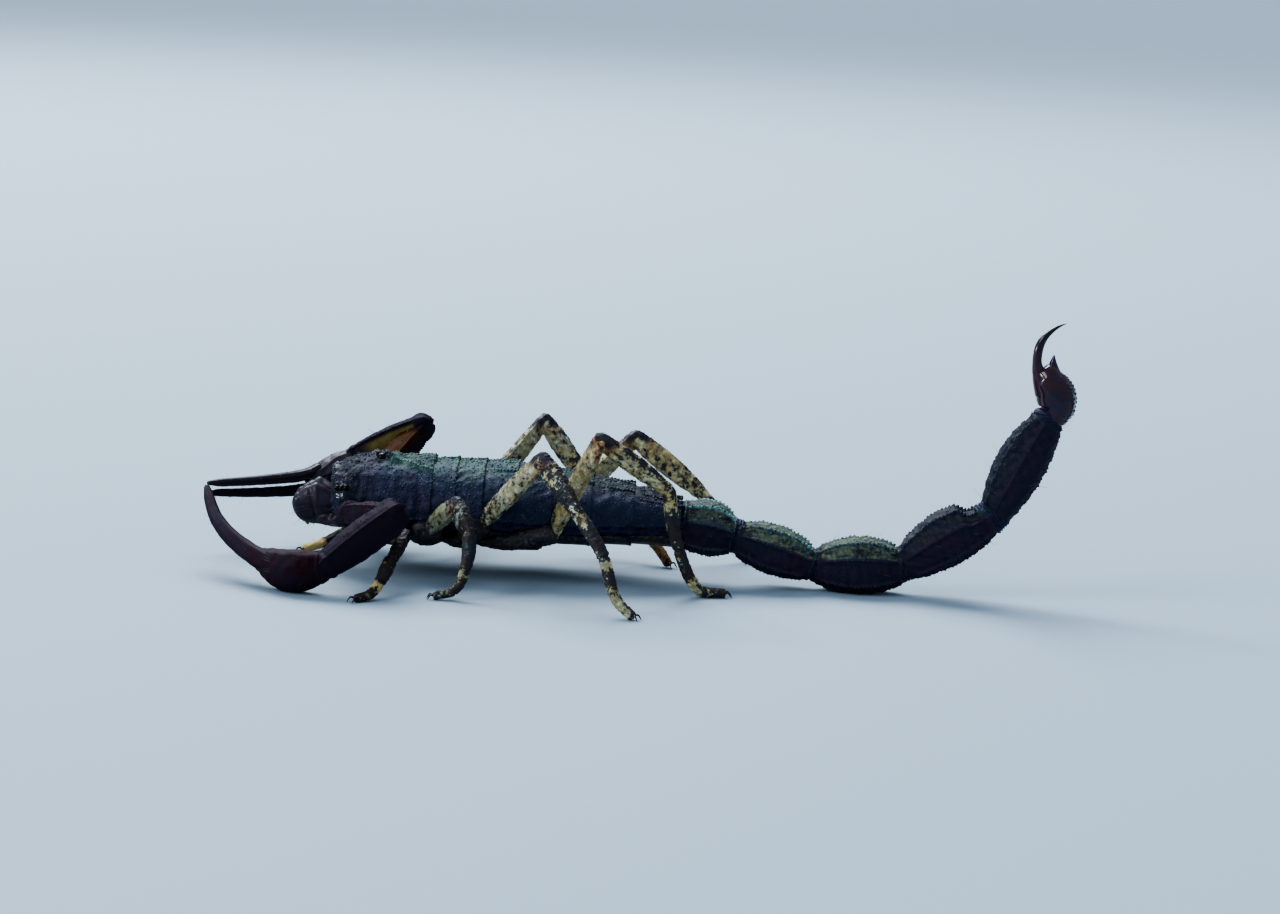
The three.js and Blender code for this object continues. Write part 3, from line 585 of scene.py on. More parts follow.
# %% Leg finishes
def leg_finish(name, pale, warm, night, darkness):
    """darkness lists how much of the surface is dark at each end and in the middle of the articles."""
    f = Finish(name)
    reach, top = f.mark("reach"), f.mark("top")
    cloud = f.noise(0.8, 3, seed=1.1)
    blotch = f.noise(0.34, 4, 0.62, seed=2.2)
    speck = f.noise(0.11, 3, seed=3.3)
    stops = [(i / (len(darkness) - 1), (d, d, d)) for i, d in enumerate(darkness)]
    dark_share = f.add("ShaderNodeValToRGB", {"stops": stops}, [reach / 5]) + f.mark("sombre")
    ground = f.fade(cloud, 0.35, 0.65, pale, warm)
    ground = f.blend(f.between(blotch, 0.38, 0.5) * 0.65, ground, "#6c6a56")
    ground = f.blend(f.between(f.noise(0.6, 2, seed=6.1), 0.6, 0.68) * 0.55, ground, "#6f4434")
    ground = f.blend(f.between(speck, 0.52, 0.7) * 0.5, ground, "#ded8b8")
    ground = f.blend(f.mark("tawny") * f.between(cloud + speck * 0.3, 0.3, 0.6), ground, "#8f6a3c")
    ground = f.blend(f.mark("cream") * f.between(cloud + blotch, 0.6, 0.9), ground, "#c4ac72")
    from_knee = f.add("ShaderNodeMath", {"operation": "ABSOLUTE"}, [reach - 1.02])
    amber = f.between(from_knee, 0.3, 0.1) * f.between(blotch + cloud * 0.4, 0.6, 0.8)
    ground = f.blend(amber * 0.55, ground, "#9a5a34")
    dark = f.fade(cloud, 0.4, 0.6, night, "#271c22")
    edge = f.between(top, 0.84, 0.97) * 0.09
    threshold = 0.66 - 0.34 * dark_share - edge
    is_dark = f.between(blotch + 0.35 * (speck - 0.5) - threshold, -0.05, 0.05)
    colour = f.blend(is_dark * 0.94, ground, dark)
    cap = f.between(from_knee + 0.25 * (blotch - 0.5), 0.17, 0.08) * f.between(top, -0.15, 0.45)
    colour = f.blend(cap * 0.92, colour, f.fade(cloud, 0.4, 0.6, "#1b2537", "#201a2e"))
    return f.surface(
        base_color=colour, roughness=0.45 + 0.18 * speck,
        normal=f.pitted(f.cells(0.07) * 0.6 + f.noise(0.05, 2) * 0.5, 0.01),
        specular_ior_level=0.3, subsurface_weight=0.06, subsurface_scale=0.0006)


# shares of dark at 21 places from hip to toe: femur, patella, tibia, basitarsus, tarsus
LEG_DARKNESS = {
    1: [0.9, 0.8, 0.75, 0.75, 0.75, 0.7, 0.75, 0.8, 0.85, 0.7, 0.8,
        0.9, 0.85, 0.5, 0.7, 0.8, 0.6, 0.4, 0.5, 0.6, 0.7],
    2: [0.6, 0.35, 0.2, 0.25, 0.35, 0.3, 0.45, 0.7, 0.8, 0.6, 0.9,
        0.95, 0.6, 0.2, 0.8, 0.9, 0.7, 0.4, 0.5, 0.6, 0.7],
    3: [0.5, 0.35, 0.25, 0.2, 0.3, 0.3, 0.4, 0.55, 0.65, 0.45, 0.85,
        1.0, 0.9, 0.0, 0.85, 0.9, 0.3, 0.0, 0.15, 0.3, 0.4],
    4: [0.4, 0.2, 0.1, 0.15, 0.25, 0.27, 0.33, 0.34, 0.42, 0.36, 0.9,
        1.0, 0.95, 0.7, 0.9, 0.9, 0.0, 0.35, 0.6, 0.6, 0.7],
}
LEG_TONES = {
    1: ("#6d5a36", "#6e472c", "#15111a"), 2: ("#929f8e", "#87855f", "#161d2e"),
    3: ("#bdbb9f", "#a39868", "#1b1f30"), 4: ("#cfc69b", "#b09a60", "#171b2b"),
}
for pair, (pale, warm, night) in LEG_TONES.items():
    FINISH[f"leg_{pair}"] = leg_finish(f"leg_shell_{pair}", pale, warm, night, LEG_DARKNESS[pair])
print("leg finishes for", len(LEG_TONES), "pairs")

# %% [markdown]
# ## Surfaces from formulas
# Most of the animal is tubes and plates, so two small classes carry it. A Route is a smooth line
# measured along its length. A Tube is a closed skin round a route: `section(t, a)` says how far the
# surface lies sideways and upwards at the share t of the route and the angle a round it. The grid of
# points is kept until the end, so that relief can be added along the surface's own normals, and
# lines for keels can be read off it.

# %% Small functions on numbers
def power(value, exponent):
    return np.sign(value) * np.abs(value) ** exponent


def swell(t, ends, peak=0.5):
    """Fullness of an article that is slimmer at both ends than at its peak."""
    s = np.where(t < peak, t / peak, (1 - t) / (1 - peak))
    return ends + (1 - ends) * np.sin(np.pi / 2 * np.clip(s, 0, 1)) ** 0.85


def hill(x, middle, width):
    return np.exp(-(((x - middle) / width) ** 2))


def rise(x, low, high):
    """0 below low and 1 above high, with a soft ramp between them."""
    s = np.clip((x - low) / (high - low), 0, 1)
    return s * s * (3 - 2 * s)


def gone(x, low, high):
    """1 below low and 0 above high."""
    return 1 - rise(x, low, high)


def lumps(points, size, seed, waves=10):
    """Smooth random swellings about size millimetres apart, mostly between -1 and 1."""
    chance = np.random.default_rng(seed)
    ways = chance.normal(size=(waves, 3))
    ways /= np.linalg.norm(ways, axis=1, keepdims=True)
    ways *= chance.uniform(0.55, 1.6, (waves, 1))
    turns = points @ ways.T * (2 * np.pi / size) + chance.uniform(0, 2 * np.pi, waves)
    return np.sin(turns).sum(-1) / (0.8 * waves ** 0.5)


def unit(vectors):
    return vectors / np.maximum(np.linalg.norm(vectors, axis=-1, keepdims=True), 1e-12)


def read_table(rows, x):
    """Reads a table of [x, value, ...] rows at any x, along smooth curves between its rows."""
    table = np.array(rows, float)
    places, values = table[:, 0], table[:, 1:]
    slopes = np.gradient(values, places, axis=0)
    x = np.clip(np.asarray(x, float), places[0], places[-1])
    i = np.clip(np.searchsorted(places, x, side="right") - 1, 0, len(places) - 2)
    span = places[i + 1] - places[i]
    s = (x - places[i]) / span
    s, span = s[..., None], span[..., None]
    return ((1 + 2 * s) * (1 - s) ** 2 * values[i] + s * (1 - s) ** 2 * span * slopes[i]
            + s ** 2 * (3 - 2 * s) * values[i + 1] + s ** 2 * (s - 1) * span * slopes[i + 1])


class Route:
    """A line through points, smooth unless it has only two, read by the share of its length."""

    def __init__(self, points, steps=80):
        p = np.array(points, float)
        if len(p) == 2:
            line = np.linspace(p[0], p[1], steps)
        else:
            ends = np.vstack([2 * p[0] - p[1], p, 2 * p[-1] - p[-2]])
            pieces = [self.bend(*ends[i:i + 4], steps) for i in range(len(p) - 1)]
            line = np.vstack([*pieces, p[-1:]])
        lengths = np.linalg.norm(np.diff(line, axis=0), axis=1)
        self.line, self.length = line, lengths.sum()
        self.share = np.concatenate([[0], np.cumsum(lengths)]) / self.length

    @staticmethod
    def bend(a, b, c, d, steps):
        """The stretch from b to c of a centripetal Catmull-Rom curve."""
        t1 = np.linalg.norm(b - a) ** 0.5
        t2 = t1 + np.linalg.norm(c - b) ** 0.5
        t3 = t2 + np.linalg.norm(d - c) ** 0.5
        t = np.linspace(t1, t2, steps, endpoint=False)[:, None]
        ab = a + (b - a) * t / t1
        bc = b + (c - b) * (t - t1) / (t2 - t1)
        cd = c + (d - c) * (t - t2) / (t3 - t2)
        before = ((t2 - t) * ab + t * bc) / t2
        after = ((t3 - t) * bc + (t - t1) * cd) / (t3 - t1)
        return (before * (t2 - t) + after * (t - t1)) / (t2 - t1)

    def at(self, t):
        return np.stack([np.interp(t, self.share, self.line[:, k]) for k in range(3)], -1)

    def along(self, t):
        h = 0.012
        return unit(self.at(np.clip(t + h, 0, 1)) - self.at(np.clip(t - h, 0, 1)))


print("the trunk at x = -10 mm:", read_table(TRUNK, -10.0).round(2))

# %% [markdown]
# A Shape is what both end in: points, four- and three-sided faces, an unwrap and the marks. The sign
# of its volume tells if it is inside out, and then its faces are turned. Tubes and plates share a
# grid of points, on which relief is raised, marks are written and lines are read.

# %% Shapes, tubes and plates
class Shape:
    """Points, faces, an unwrap of the face corners, and named numbers on the points."""

    def __init__(self, points, quads, tris, corners, marks):
        self.points, self.quads, self.tris = points, quads, tris
        self.corners, self.marks = corners, marks
        if self.volume() < 0:
            self.quads, self.tris = quads[:, ::-1], tris[:, ::-1]
            halves = np.split(corners, [4 * len(quads)])
            self.corners = np.vstack([half.reshape(-1, n, 2)[:, ::-1].reshape(-1, 2)
                                      for half, n in zip(halves, (4, 3))])

    def volume(self):
        triangles = np.vstack([self.quads[:, [0, 1, 2]], self.quads[:, [0, 2, 3]], self.tris])
        a, b, c = (self.points[triangles[:, k]] for k in range(3))
        return np.einsum("ij,ij->", a, np.cross(b, c)) / 6


def joined(shapes):
    """Several shapes as one, each with its own cell in the unwrap."""
    names = sorted({name for s in shapes for name in s.marks})
    starts = np.cumsum([0] + [len(s.points) for s in shapes[:-1]])
    cells = len(shapes)
    corners = [(s.corners + [i, 0]) / [cells, 1] for i, s in enumerate(shapes)]

    def values_of(shape, name):
        like = next(s.marks[name] for s in shapes if name in s.marks)
        return shape.marks.get(name, np.zeros((len(shape.points), *like.shape[1:])))

    return Shape(
        np.vstack([s.points for s in shapes]),
        np.vstack([s.quads + k for s, k in zip(shapes, starts)]),
        np.vstack([s.tris + k for s, k in zip(shapes, starts)]),
        np.vstack([c[:4 * len(s.quads)] for c, s in zip(corners, shapes)]
                  + [c[4 * len(s.quads):] for c, s in zip(corners, shapes)]),
        {name: np.concatenate([values_of(s, name) for s in shapes]) for name in names})


def inset(corners):
    """The unwrap, kept a little inside its square."""
    return corners * 0.98 + 0.01


def grid_normals(points, wrap):
    """Unit normals of a grid of points, whose second direction closes on itself if wrap is set."""
    down = np.gradient(points, axis=0)
    if wrap:
        across = np.roll(points, -1, axis=1) - np.roll(points, 1, axis=1)
    else:
        across = np.gradient(points, axis=1)
    return unit(np.cross(down, across))


class Grid:
    """What tubes and plates share: points in rows and columns, their normals and their marks."""

    def raise_by(self, height):
        """Relief along the surface's own normals."""
        self.points = self.points + self.normals * height[..., None]
        self.normals = grid_normals(self.points, self.wraps) * self.outward
        return self

    def mark(self, **marks):
        for name, value in marks.items():
            self.marks[name] = np.broadcast_to(value, self.points.shape[:2]).astype(float)
        return self

    def read(self, values, row, col):
        """Values of a grid array at any row and column, between its four neighbours."""
        rows, columns = values.shape[:2]
        r0 = np.clip(np.floor(row).astype(int), 0, rows - 2)
        whole = np.floor(col).astype(int)
        if not self.wraps:
            whole = np.clip(whole, 0, columns - 2)
        c0, c1 = whole % columns, (whole + 1) % columns
        r, c = row - r0, col - whole
        while np.ndim(r) < values.ndim - 1:
            r, c = r[..., None], c[..., None]
        low = values[r0, c0] * (1 - c) + values[r0, c1] * c
        high = values[r0 + 1, c0] * (1 - c) + values[r0 + 1, c1] * c
        return low * (1 - r) + high * r

    def all_marks(self, more):
        """The marks of all points, in the order of the shape's points. more picks the added ones."""
        return {name: np.concatenate([m.reshape(-1, *m.shape[2:]), m[more]])
                for name, m in self.marks.items()}


class Tube(Grid):
    """A closed skin round a route. caps are the lengths of the half-egg ends, 0 for a flat end."""

    wraps, outward = True, 1

    def __init__(self, route, rows, sides, section, hinge=None, up=UP, caps=(0, 0), cap_rows=5):
        turn = np.linspace(math.pi / 2, 0, cap_rows, endpoint=False)[1:]
        first = turn if caps[0] else turn[:0]
        last = turn[::-1] if caps[1] else turn[:0]
        self.t = np.concatenate([first * 0, np.linspace(0, 1, rows), last * 0 + 1])
        slide = np.concatenate([-caps[0] * np.sin(first), np.zeros(rows), caps[1] * np.sin(last)])
        scale = np.concatenate([np.cos(first), np.ones(rows), np.cos(last)])
        self.a = np.linspace(0, 2 * math.pi, sides, endpoint=False)
        along = route.along(self.t)
        if hinge is None:
            lift = unit(up - along * (along @ np.array(up, float))[:, None])
        else:
            lift = unit(np.cross(along, np.array(hinge, float)))
        side = np.cross(along, lift)
        centre = route.at(self.t) + along * slide[:, None]
        across, over = section(self.t[:, None], self.a[None, :])
        across, over = np.broadcast_arrays(across, over)
        self.points = (centre[:, None] + side[:, None] * (across * scale[:, None])[..., None]
                       + lift[:, None] * (over * scale[:, None])[..., None])
        self.poles = [route.at(0.0) - along[0] * caps[0], route.at(1.0) + along[-1] * caps[1]]
        self.rows, self.sides, self.first = rows, sides, len(first)
        self.normals = grid_normals(self.points, True)
        ones = np.ones((len(self.t), sides))
        self.marks = {"along": (self.t + slide / route.length)[:, None] * ones,
                      "lie": along[:, None] * ones[..., None]}

    def grid(self):
        """The share along and the angle round, for each point."""
        return np.broadcast_arrays(self.t[:, None], self.a[None, :])

    def sample(self, t, a, values):
        """Values of a grid array at any share t and angle a."""
        row = self.first + np.clip(t, 0, 1) * (self.rows - 1)
        return self.read(values, row, (np.asarray(a) / (2 * math.pi) % 1) * self.sides)

    def shape(self):
        rows, sides = len(self.t), self.sides
        points = np.vstack([self.points.reshape(-1, 3), self.poles])
        i, j = np.meshgrid(np.arange(rows - 1), np.arange(sides), indexing="ij")
        i, j = i.ravel(), j.ravel()
        k = (j + 1) % sides
        quads = np.stack([i * sides + j, (i + 1) * sides + j, (i + 1) * sides + k, i * sides + k], 1)
        v = np.array([i, i + 1, i + 1, i]).T / rows
        u = np.array([j, j, j + 1, j + 1]).T / sides
        j = np.arange(sides)
        k = (j + 1) % sides
        south, north = rows * sides + 0 * j, rows * sides + 1 + 0 * j
        tris = np.vstack([np.stack([south, j, k], 1),
                          np.stack([north, (rows - 1) * sides + k, (rows - 1) * sides + j], 1)])
        end_u = np.array([j + 0.5, j, j + 1]).T / sides
        end_v = np.array([0 * j, 0 * j, 0 * j]).T + [0, 0.2 / rows, 0.2 / rows]
        corners = np.vstack([
            np.stack([u, v], -1).reshape(-1, 2), np.stack([end_u, end_v], -1).reshape(-1, 2),
            np.stack([end_u[:, [0, 2, 1]], 1 - end_v], -1).reshape(-1, 2)])
        return Shape(points, quads, tris, inset(corners), self.all_marks(([0, -1], 0)))


def oval(wide, above, below=None, square=1.0):
    """A section with three reaches, each a number or a function of the share along."""
    below = above if below is None else below

    def read(value, t):
        return value(t) if callable(value) else value

    def section(t, a):
        tall = np.where(np.sin(a) >= 0, read(above, t), read(below, t))
        return read(wide, t) * power(np.cos(a), square), tall * power(np.sin(a), square)

    return section


def flattened(section, keels, share):
    """The same section with its rounds pulled towards flat faces between its keels, in degrees."""
    corner = np.radians(sorted(keels))
    following = np.append(corner[1:], corner[0] + 2 * math.pi)

    def pulled(t, a):
        turn = (a - corner[0]) % (2 * math.pi) + corner[0]
        k = np.clip(np.searchsorted(corner, turn, side="right") - 1, 0, len(corner) - 1)
        s = (turn - corner[k]) / (following[k] - corner[k])
        x0, y0 = section(t, corner[k])
        x1, y1 = section(t, following[k])
        x, y = section(t, a)
        return x + share * (x0 + (x1 - x0) * s - x), y + share * (y0 + (y1 - y0) * s - y)

    return pulled


def ridges(a, keels, width):
    """1 on the keels, in degrees, falling to 0 beside them."""
    total = 0
    for keel in keels:
        apart = (np.degrees(a) - keel + 180) % 360 - 180
        total = total + np.exp(-((apart / width) ** 2))
    return np.minimum(total, 1)


class Plate(Grid):
    """A thin closed shell over a grid. place(u, v) gives its outer face, u across and v from front
    to back, each from 0 to 1. It is thickest inside and rounds off to nothing at its rim."""

    wraps = False

    def __init__(self, rows, columns, place, thick):
        v = (1 - np.cos(np.linspace(0, math.pi, rows))) / 2
        v = 0.6 * np.linspace(0, 1, rows) + 0.4 * v
        u = np.linspace(0, 1, columns)
        self.u, self.v = np.meshgrid(u, v)
        self.points = place(self.u, self.v)
        self.thick = thick
        normals = grid_normals(self.points, False)
        bulge = self.points[rows // 2, columns // 2] - self.points.mean((0, 1))
        self.outward = 1 if normals[rows // 2, columns // 2] @ bulge >= 0 else -1
        self.normals = normals * self.outward
        self.marks = {"lie": np.broadcast_to([1.0, 0, 0], self.points.shape)}

    def sample(self, v, u, values):
        """Values of a grid array at any share v from the front and u across."""
        row = np.interp(v, self.v[:, 0], np.arange(len(self.v)))
        return self.read(values, row, np.asarray(u) * (self.u.shape[1] - 1))

    def shape(self):
        rows, columns = self.u.shape
        inner = self.points - self.normals * self.thick
        rim = np.zeros((rows, columns), bool)
        rim[[0, -1]] = True
        rim[:, [0, -1]] = True
        outer_index = np.arange(rows * columns).reshape(rows, columns)
        inner_index = outer_index.copy()
        inner_index[~rim] = rows * columns + np.arange((~rim).sum())
        points = np.vstack([self.points.reshape(-1, 3), inner[~rim]])

        def faces(index):
            around = [index[:-1, :-1], index[1:, :-1], index[1:, 1:], index[:-1, 1:]]
            return np.stack(around, -1).reshape(-1, 4)

        quads = np.vstack([faces(outer_index), faces(inner_index)[:, ::-1]])
        place = np.stack([self.u, self.v * 0.5], -1).reshape(-1, 2)
        flat_u = np.concatenate([place, place[(~rim).ravel()] + [0, 0.5]])
        corners = inset(flat_u[quads].reshape(-1, 2))
        return Shape(points, quads, np.zeros((0, 3), int), corners, self.all_marks(~rim))


print("shapes ready")

# %% [markdown]
# ## From shape to piece
# `as_object` writes a shape into a mesh object on the drawing board, in millimetres. `settle` takes
# the evaluated mesh with its Geometry Nodes applied, brings its points into the frame in metres, gives
# it its finish and hides the frame's nodes that it replaces. Everything rides on the one body, because
# an animal's joints stay as they were set.

# %% From shape to piece
DRAFT, LOOK = "draft_", "_look"


def write_marks(mesh, marks):
    for name, values in marks.items():
        kind = "FLOAT_VECTOR" if values.ndim == 2 else "FLOAT"
        key = "vector" if values.ndim == 2 else "value"
        mesh.attributes.new(name, kind, "POINT").data.foreach_set(key, values.astype(np.float32).ravel())


def as_object(name, shape):
    mesh = bpy.data.meshes.new(DRAFT + name)
    quads, tris = shape.quads, shape.tris
    mesh.vertices.add(len(shape.points))
    mesh.vertices.foreach_set("co", shape.points.astype(np.float32).ravel())
    mesh.loops.add(4 * len(quads) + 3 * len(tris))
    mesh.loops.foreach_set("vertex_index", np.concatenate([quads.ravel(), tris.ravel()]).astype(np.int32))
    mesh.polygons.add(len(quads) + len(tris))
    starts = np.concatenate([4 * np.arange(len(quads)), 4 * len(quads) + 3 * np.arange(len(tris))])
    mesh.polygons.foreach_set("loop_start", starts.astype(np.int32))
    unwrap = mesh.uv_layers.new(name="unwrap")
    unwrap.uv.foreach_set("vector", shape.corners.astype(np.float32).ravel())
    write_marks(mesh, shape.marks)
    mesh.update(calc_edges=True)
    mesh.shade_smooth()
    return put(DRAFT + name, mesh)


SPARE_MARKS = ("lie", "grain", "hairy", "out", "size", "tuft", "thick", "unwrap")
TO_FRAME = Matrix.Translation(Vector(SHIFT * MM)) @ Matrix.Diagonal((MM, MM, MM, 1))
tally = {}


def settle(thing, finish, slot, nodes=(), keep_map=None):
    """Turns a drawing-board object and its modifiers into a finished piece of the frame."""
    name = thing.name.removeprefix(DRAFT)
    for item in thing.modifiers:
        if item.type == "NODES":
            fit(item, finish=FINISH[finish])
    depsgraph = bpy.context.evaluated_depsgraph_get()
    mesh = bpy.data.meshes.new_from_object(
        thing.evaluated_get(depsgraph), preserve_all_data_layers=True, depsgraph=depsgraph)
    bpy.data.objects.remove(thing)
    place = np.empty(3 * len(mesh.vertices), np.float32)
    mesh.vertices.foreach_get("co", place)
    place[2::3] = np.maximum(place[2::3], FLOOR_GAP)
    mesh.vertices.foreach_set("co", place)
    for layer in [x.name for x in mesh.uv_layers if x.name != keep_map]:
        mesh.uv_layers.remove(mesh.uv_layers[layer])
    for spare in SPARE_MARKS:
        if spare in mesh.attributes:
            mesh.attributes.remove(mesh.attributes[spare])
    mesh.transform(TO_FRAME)
    mesh.materials.clear()
    mesh.materials.append(FINISH[finish])
    mesh.shade_smooth()
    mesh.name = name + "_mesh"
    piece = put(name + LOOK, mesh)
    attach(piece, "root")
    if nodes:
        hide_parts(*nodes)
    mesh.calc_loop_triangles()
    tally[name] = len(mesh.loop_triangles)
    return piece


print("pieces will be brought in by", SHIFT, "mm and scaled by", MM)

# %% [markdown]
# ## Grains and keels: the armour tree
# Cuticle is sculpted in two ways. Loose grains are scattered over a plate, and keels are rows of
# beads or small teeth that follow a line. Both are the same bead, a ball whose top can be drawn to a
# point and leaned back, instanced by Geometry Nodes: on scattered points where the plate's `grain`
# mark allows it, and on resampled keel lines that a second object holds. The beads inherit the
# plate's marks from where they sit, get `raised` = 1, and are realized into one mesh with the plate.

# %% The armour tree
def armour_tree():
    net = Net(bpy.data.node_groups.new("armour", "GeometryNodeTree"))
    plate, lines, pitch, length, width, height, sharp, lean, spacing, grain, flat, seed, finish = net.takes(
        ("Geometry", "Geometry"), ("Keel lines", "Object"), ("Bead pitch", "Float", 0.25),
        ("Bead length", "Float", 0.12), ("Bead width", "Float", 0.08), ("Bead height", "Float", 0.08),
        ("Bead sharpness", "Float", 0.3), ("Bead lean", "Float", 0.3), ("Grain spacing", "Float", 0.2),
        ("Grain size", "Float", 0.05), ("Grain flatness", "Float", 0.8), ("Seed", "Int", 1),
        ("Finish", "Material"))

    def bead(segments, rings, sharpness, leaning):
        ball = net.add("GeometryNodeMeshUVSphere", {},
                       {"Segments": segments, "Rings": rings, "Radius": 1.0})
        place = net.add("GeometryNodeInputPosition")
        x, y, z = (net.add("ShaderNodeSeparateXYZ", {}, [place], k) for k in range(3))
        top = z.most(0.0)
        narrow = 1 - sharpness * top
        drawn = net.add("ShaderNodeCombineXYZ", {}, [x * narrow + leaning * top * top, y * narrow, z])
        return net.add("GeometryNodeSetPosition", {}, {"Geometry": ball, "Position": drawn})

    def random(low, high, offset):
        return net.add("FunctionNodeRandomValue", {}, {2: low, 3: high, 8: seed + offset}, 1)

    def together(*parts):
        whole = net.add("GeometryNodeJoinGeometry")
        for part in parts:
            net.tree.links.new(part.socket, whole.socket.node.inputs[0])
        return whole

    spots = net.add(
        "GeometryNodeDistributePointsOnFaces", {"distribute_method": "POISSON"},
        {"Mesh": plate, "Distance Min": spacing, "Density Max": 1.4 / (spacing * spacing),
         "Density Factor": net.attribute("grain"), "Seed": seed})
    size = grain * random(0.6, 1.35, 1)
    grains = net.add(
        "GeometryNodeInstanceOnPoints", {},
        {"Points": spots, "Instance": bead(7, 4, 0.15, 0.1), "Rotation": spots.out("Rotation"),
         "Scale": net.add("ShaderNodeCombineXYZ", {}, [size, size, size * flat])})

    rows = net.add("GeometryNodeObjectInfo", {}, {"Object": lines}, "Geometry")
    rows = net.add("GeometryNodeMeshToCurve", {}, [rows])
    rows = net.add("GeometryNodeResampleCurve", {"mode": "LENGTH"}, {"Curve": rows, "Length": pitch})
    stand = net.add("FunctionNodeAxesToRotation", {"primary_axis": "Z", "secondary_axis": "X"},
                    [net.attribute("out", "FLOAT_VECTOR"), net.add("GeometryNodeInputTangent")])
    share = net.attribute("size") * random(0.75, 1.25, 2)
    stretch = net.add("ShaderNodeCombineXYZ", {}, [length * share, width * share, height * share])
    beads = net.add("GeometryNodeInstanceOnPoints", {},
                    {"Points": rows, "Instance": bead(8, 5, sharp, lean), "Rotation": stand,
                     "Scale": stretch})
    both = net.store(together(grains, beads), "raised", 1.0, domain="INSTANCE")
    both = net.add("GeometryNodeRealizeInstances", {}, [both])
    return net.gives(together(plate, both), finish)


ARMOUR = armour_tree()


def keel_lines(name, tracks):
    """An object of bare edges for the armour or horn tree. Each track is points, outward normals,
    sizes and the marks that its beads or its horn shall carry."""
    points, out, size, edges, marks = [], [], [], [], {}
    for track in tracks:
        start = sum(len(p) for p in points)
        count = len(track["points"])
        points.append(track["points"])
        out.append(track["out"])
        size.append(np.broadcast_to(track["size"], count))
        edges.append(np.stack([np.arange(count - 1), np.arange(1, count)], 1) + start)
        for key, values in track["marks"].items():
            marks.setdefault(key, []).append(values)
    mesh = bpy.data.meshes.new(DRAFT + name)
    mesh.from_pydata(np.vstack(points).tolist(), np.vstack(edges).tolist(), [])
    write_marks(mesh, {"out": np.vstack(out), "size": np.concatenate(size),
                       **{k: np.concatenate(v) for k, v in marks.items()}})
    return put(DRAFT + name, mesh)


def count_triangles(start):
    """The triangles of all pieces so far whose names begin like this."""
    return sum(n for name, n in tally.items() if name.startswith(start))


def track(surface, first, second, size=1.0, sink=0.0, count=40):
    """A keel line on a tube or a plate, between two places given as (share along, angle or share
    across). size may be a function of the share of the line."""
    s = np.linspace(0, 1, count)
    p, q = (first[k] + (second[k] - first[k]) * s for k in range(2))
    out = unit(surface.sample(p, q, surface.normals))
    marks = {k: surface.sample(p, q, m) for k, m in surface.marks.items() if m.ndim == 2}
    return {"points": surface.sample(p, q, surface.points) - out * sink, "out": out,
            "size": size(s) if callable(size) else np.full(count, float(size)), "marks": marks}


def along_keels(surface, keels, start, end, size=1.0, sink=0.01, count=40):
    """Keel lines that run along a tube at these angles, in degrees."""
    return [track(surface, (start, turn), (end, turn), size, sink, count) for turn in np.radians(keels)]


def grown(thing, tree, **inputs):
    """Puts a node tree on a thing, with these inputs."""
    modifier = thing.modifiers.new(tree.name, "NODES")
    modifier.node_group = tree
    fit(modifier, **inputs)
    return thing


def beads(pitch, length, width, height, sharpness=0.3, lean=0.3):
    """The armour's settings for rows of beads, in mm."""
    return dict(bead_pitch=pitch, bead_length=length, bead_width=width, bead_height=height,
                bead_sharpness=sharpness, bead_lean=lean)


def grains(spacing, size, flatness=0.8):
    """The armour's settings for loose grains, in mm."""
    return dict(grain_spacing=spacing, grain_size=size, grain_flatness=flatness)


def finished(name, shape, finish, slot, nodes=(), tracks=(), seed=1, **sizes):
    """One armoured piece, from its shape to its place in the frame. Without tracks it has grains only."""
    holder = keel_lines(name + "_keels", tracks) if tracks else None
    thing = grown(as_object(name, shape), ARMOUR, keel_lines=holder, seed=seed, **sizes)
    piece = settle(thing, finish, slot, nodes)
    if holder:
        bpy.data.objects.remove(holder)
    return piece


print("armour tree has", len(ARMOUR.nodes), "nodes")

# %% [markdown]
# ## Bristles
# Scorpions feel the air with fine bristles on legs, pincers and tail. They are solid hairs here: a
# three-sided tapering curve, instanced on points scattered where the `hairy` mark allows it, leaning
# along the limb. Each hair's patch in the map OFBake is tiny and lies at its root's place on the
# unwrap of the surface that it grows from.

# %% The bristle tree
# how far a hair's patch reaches in the map
PATCH = 0.003


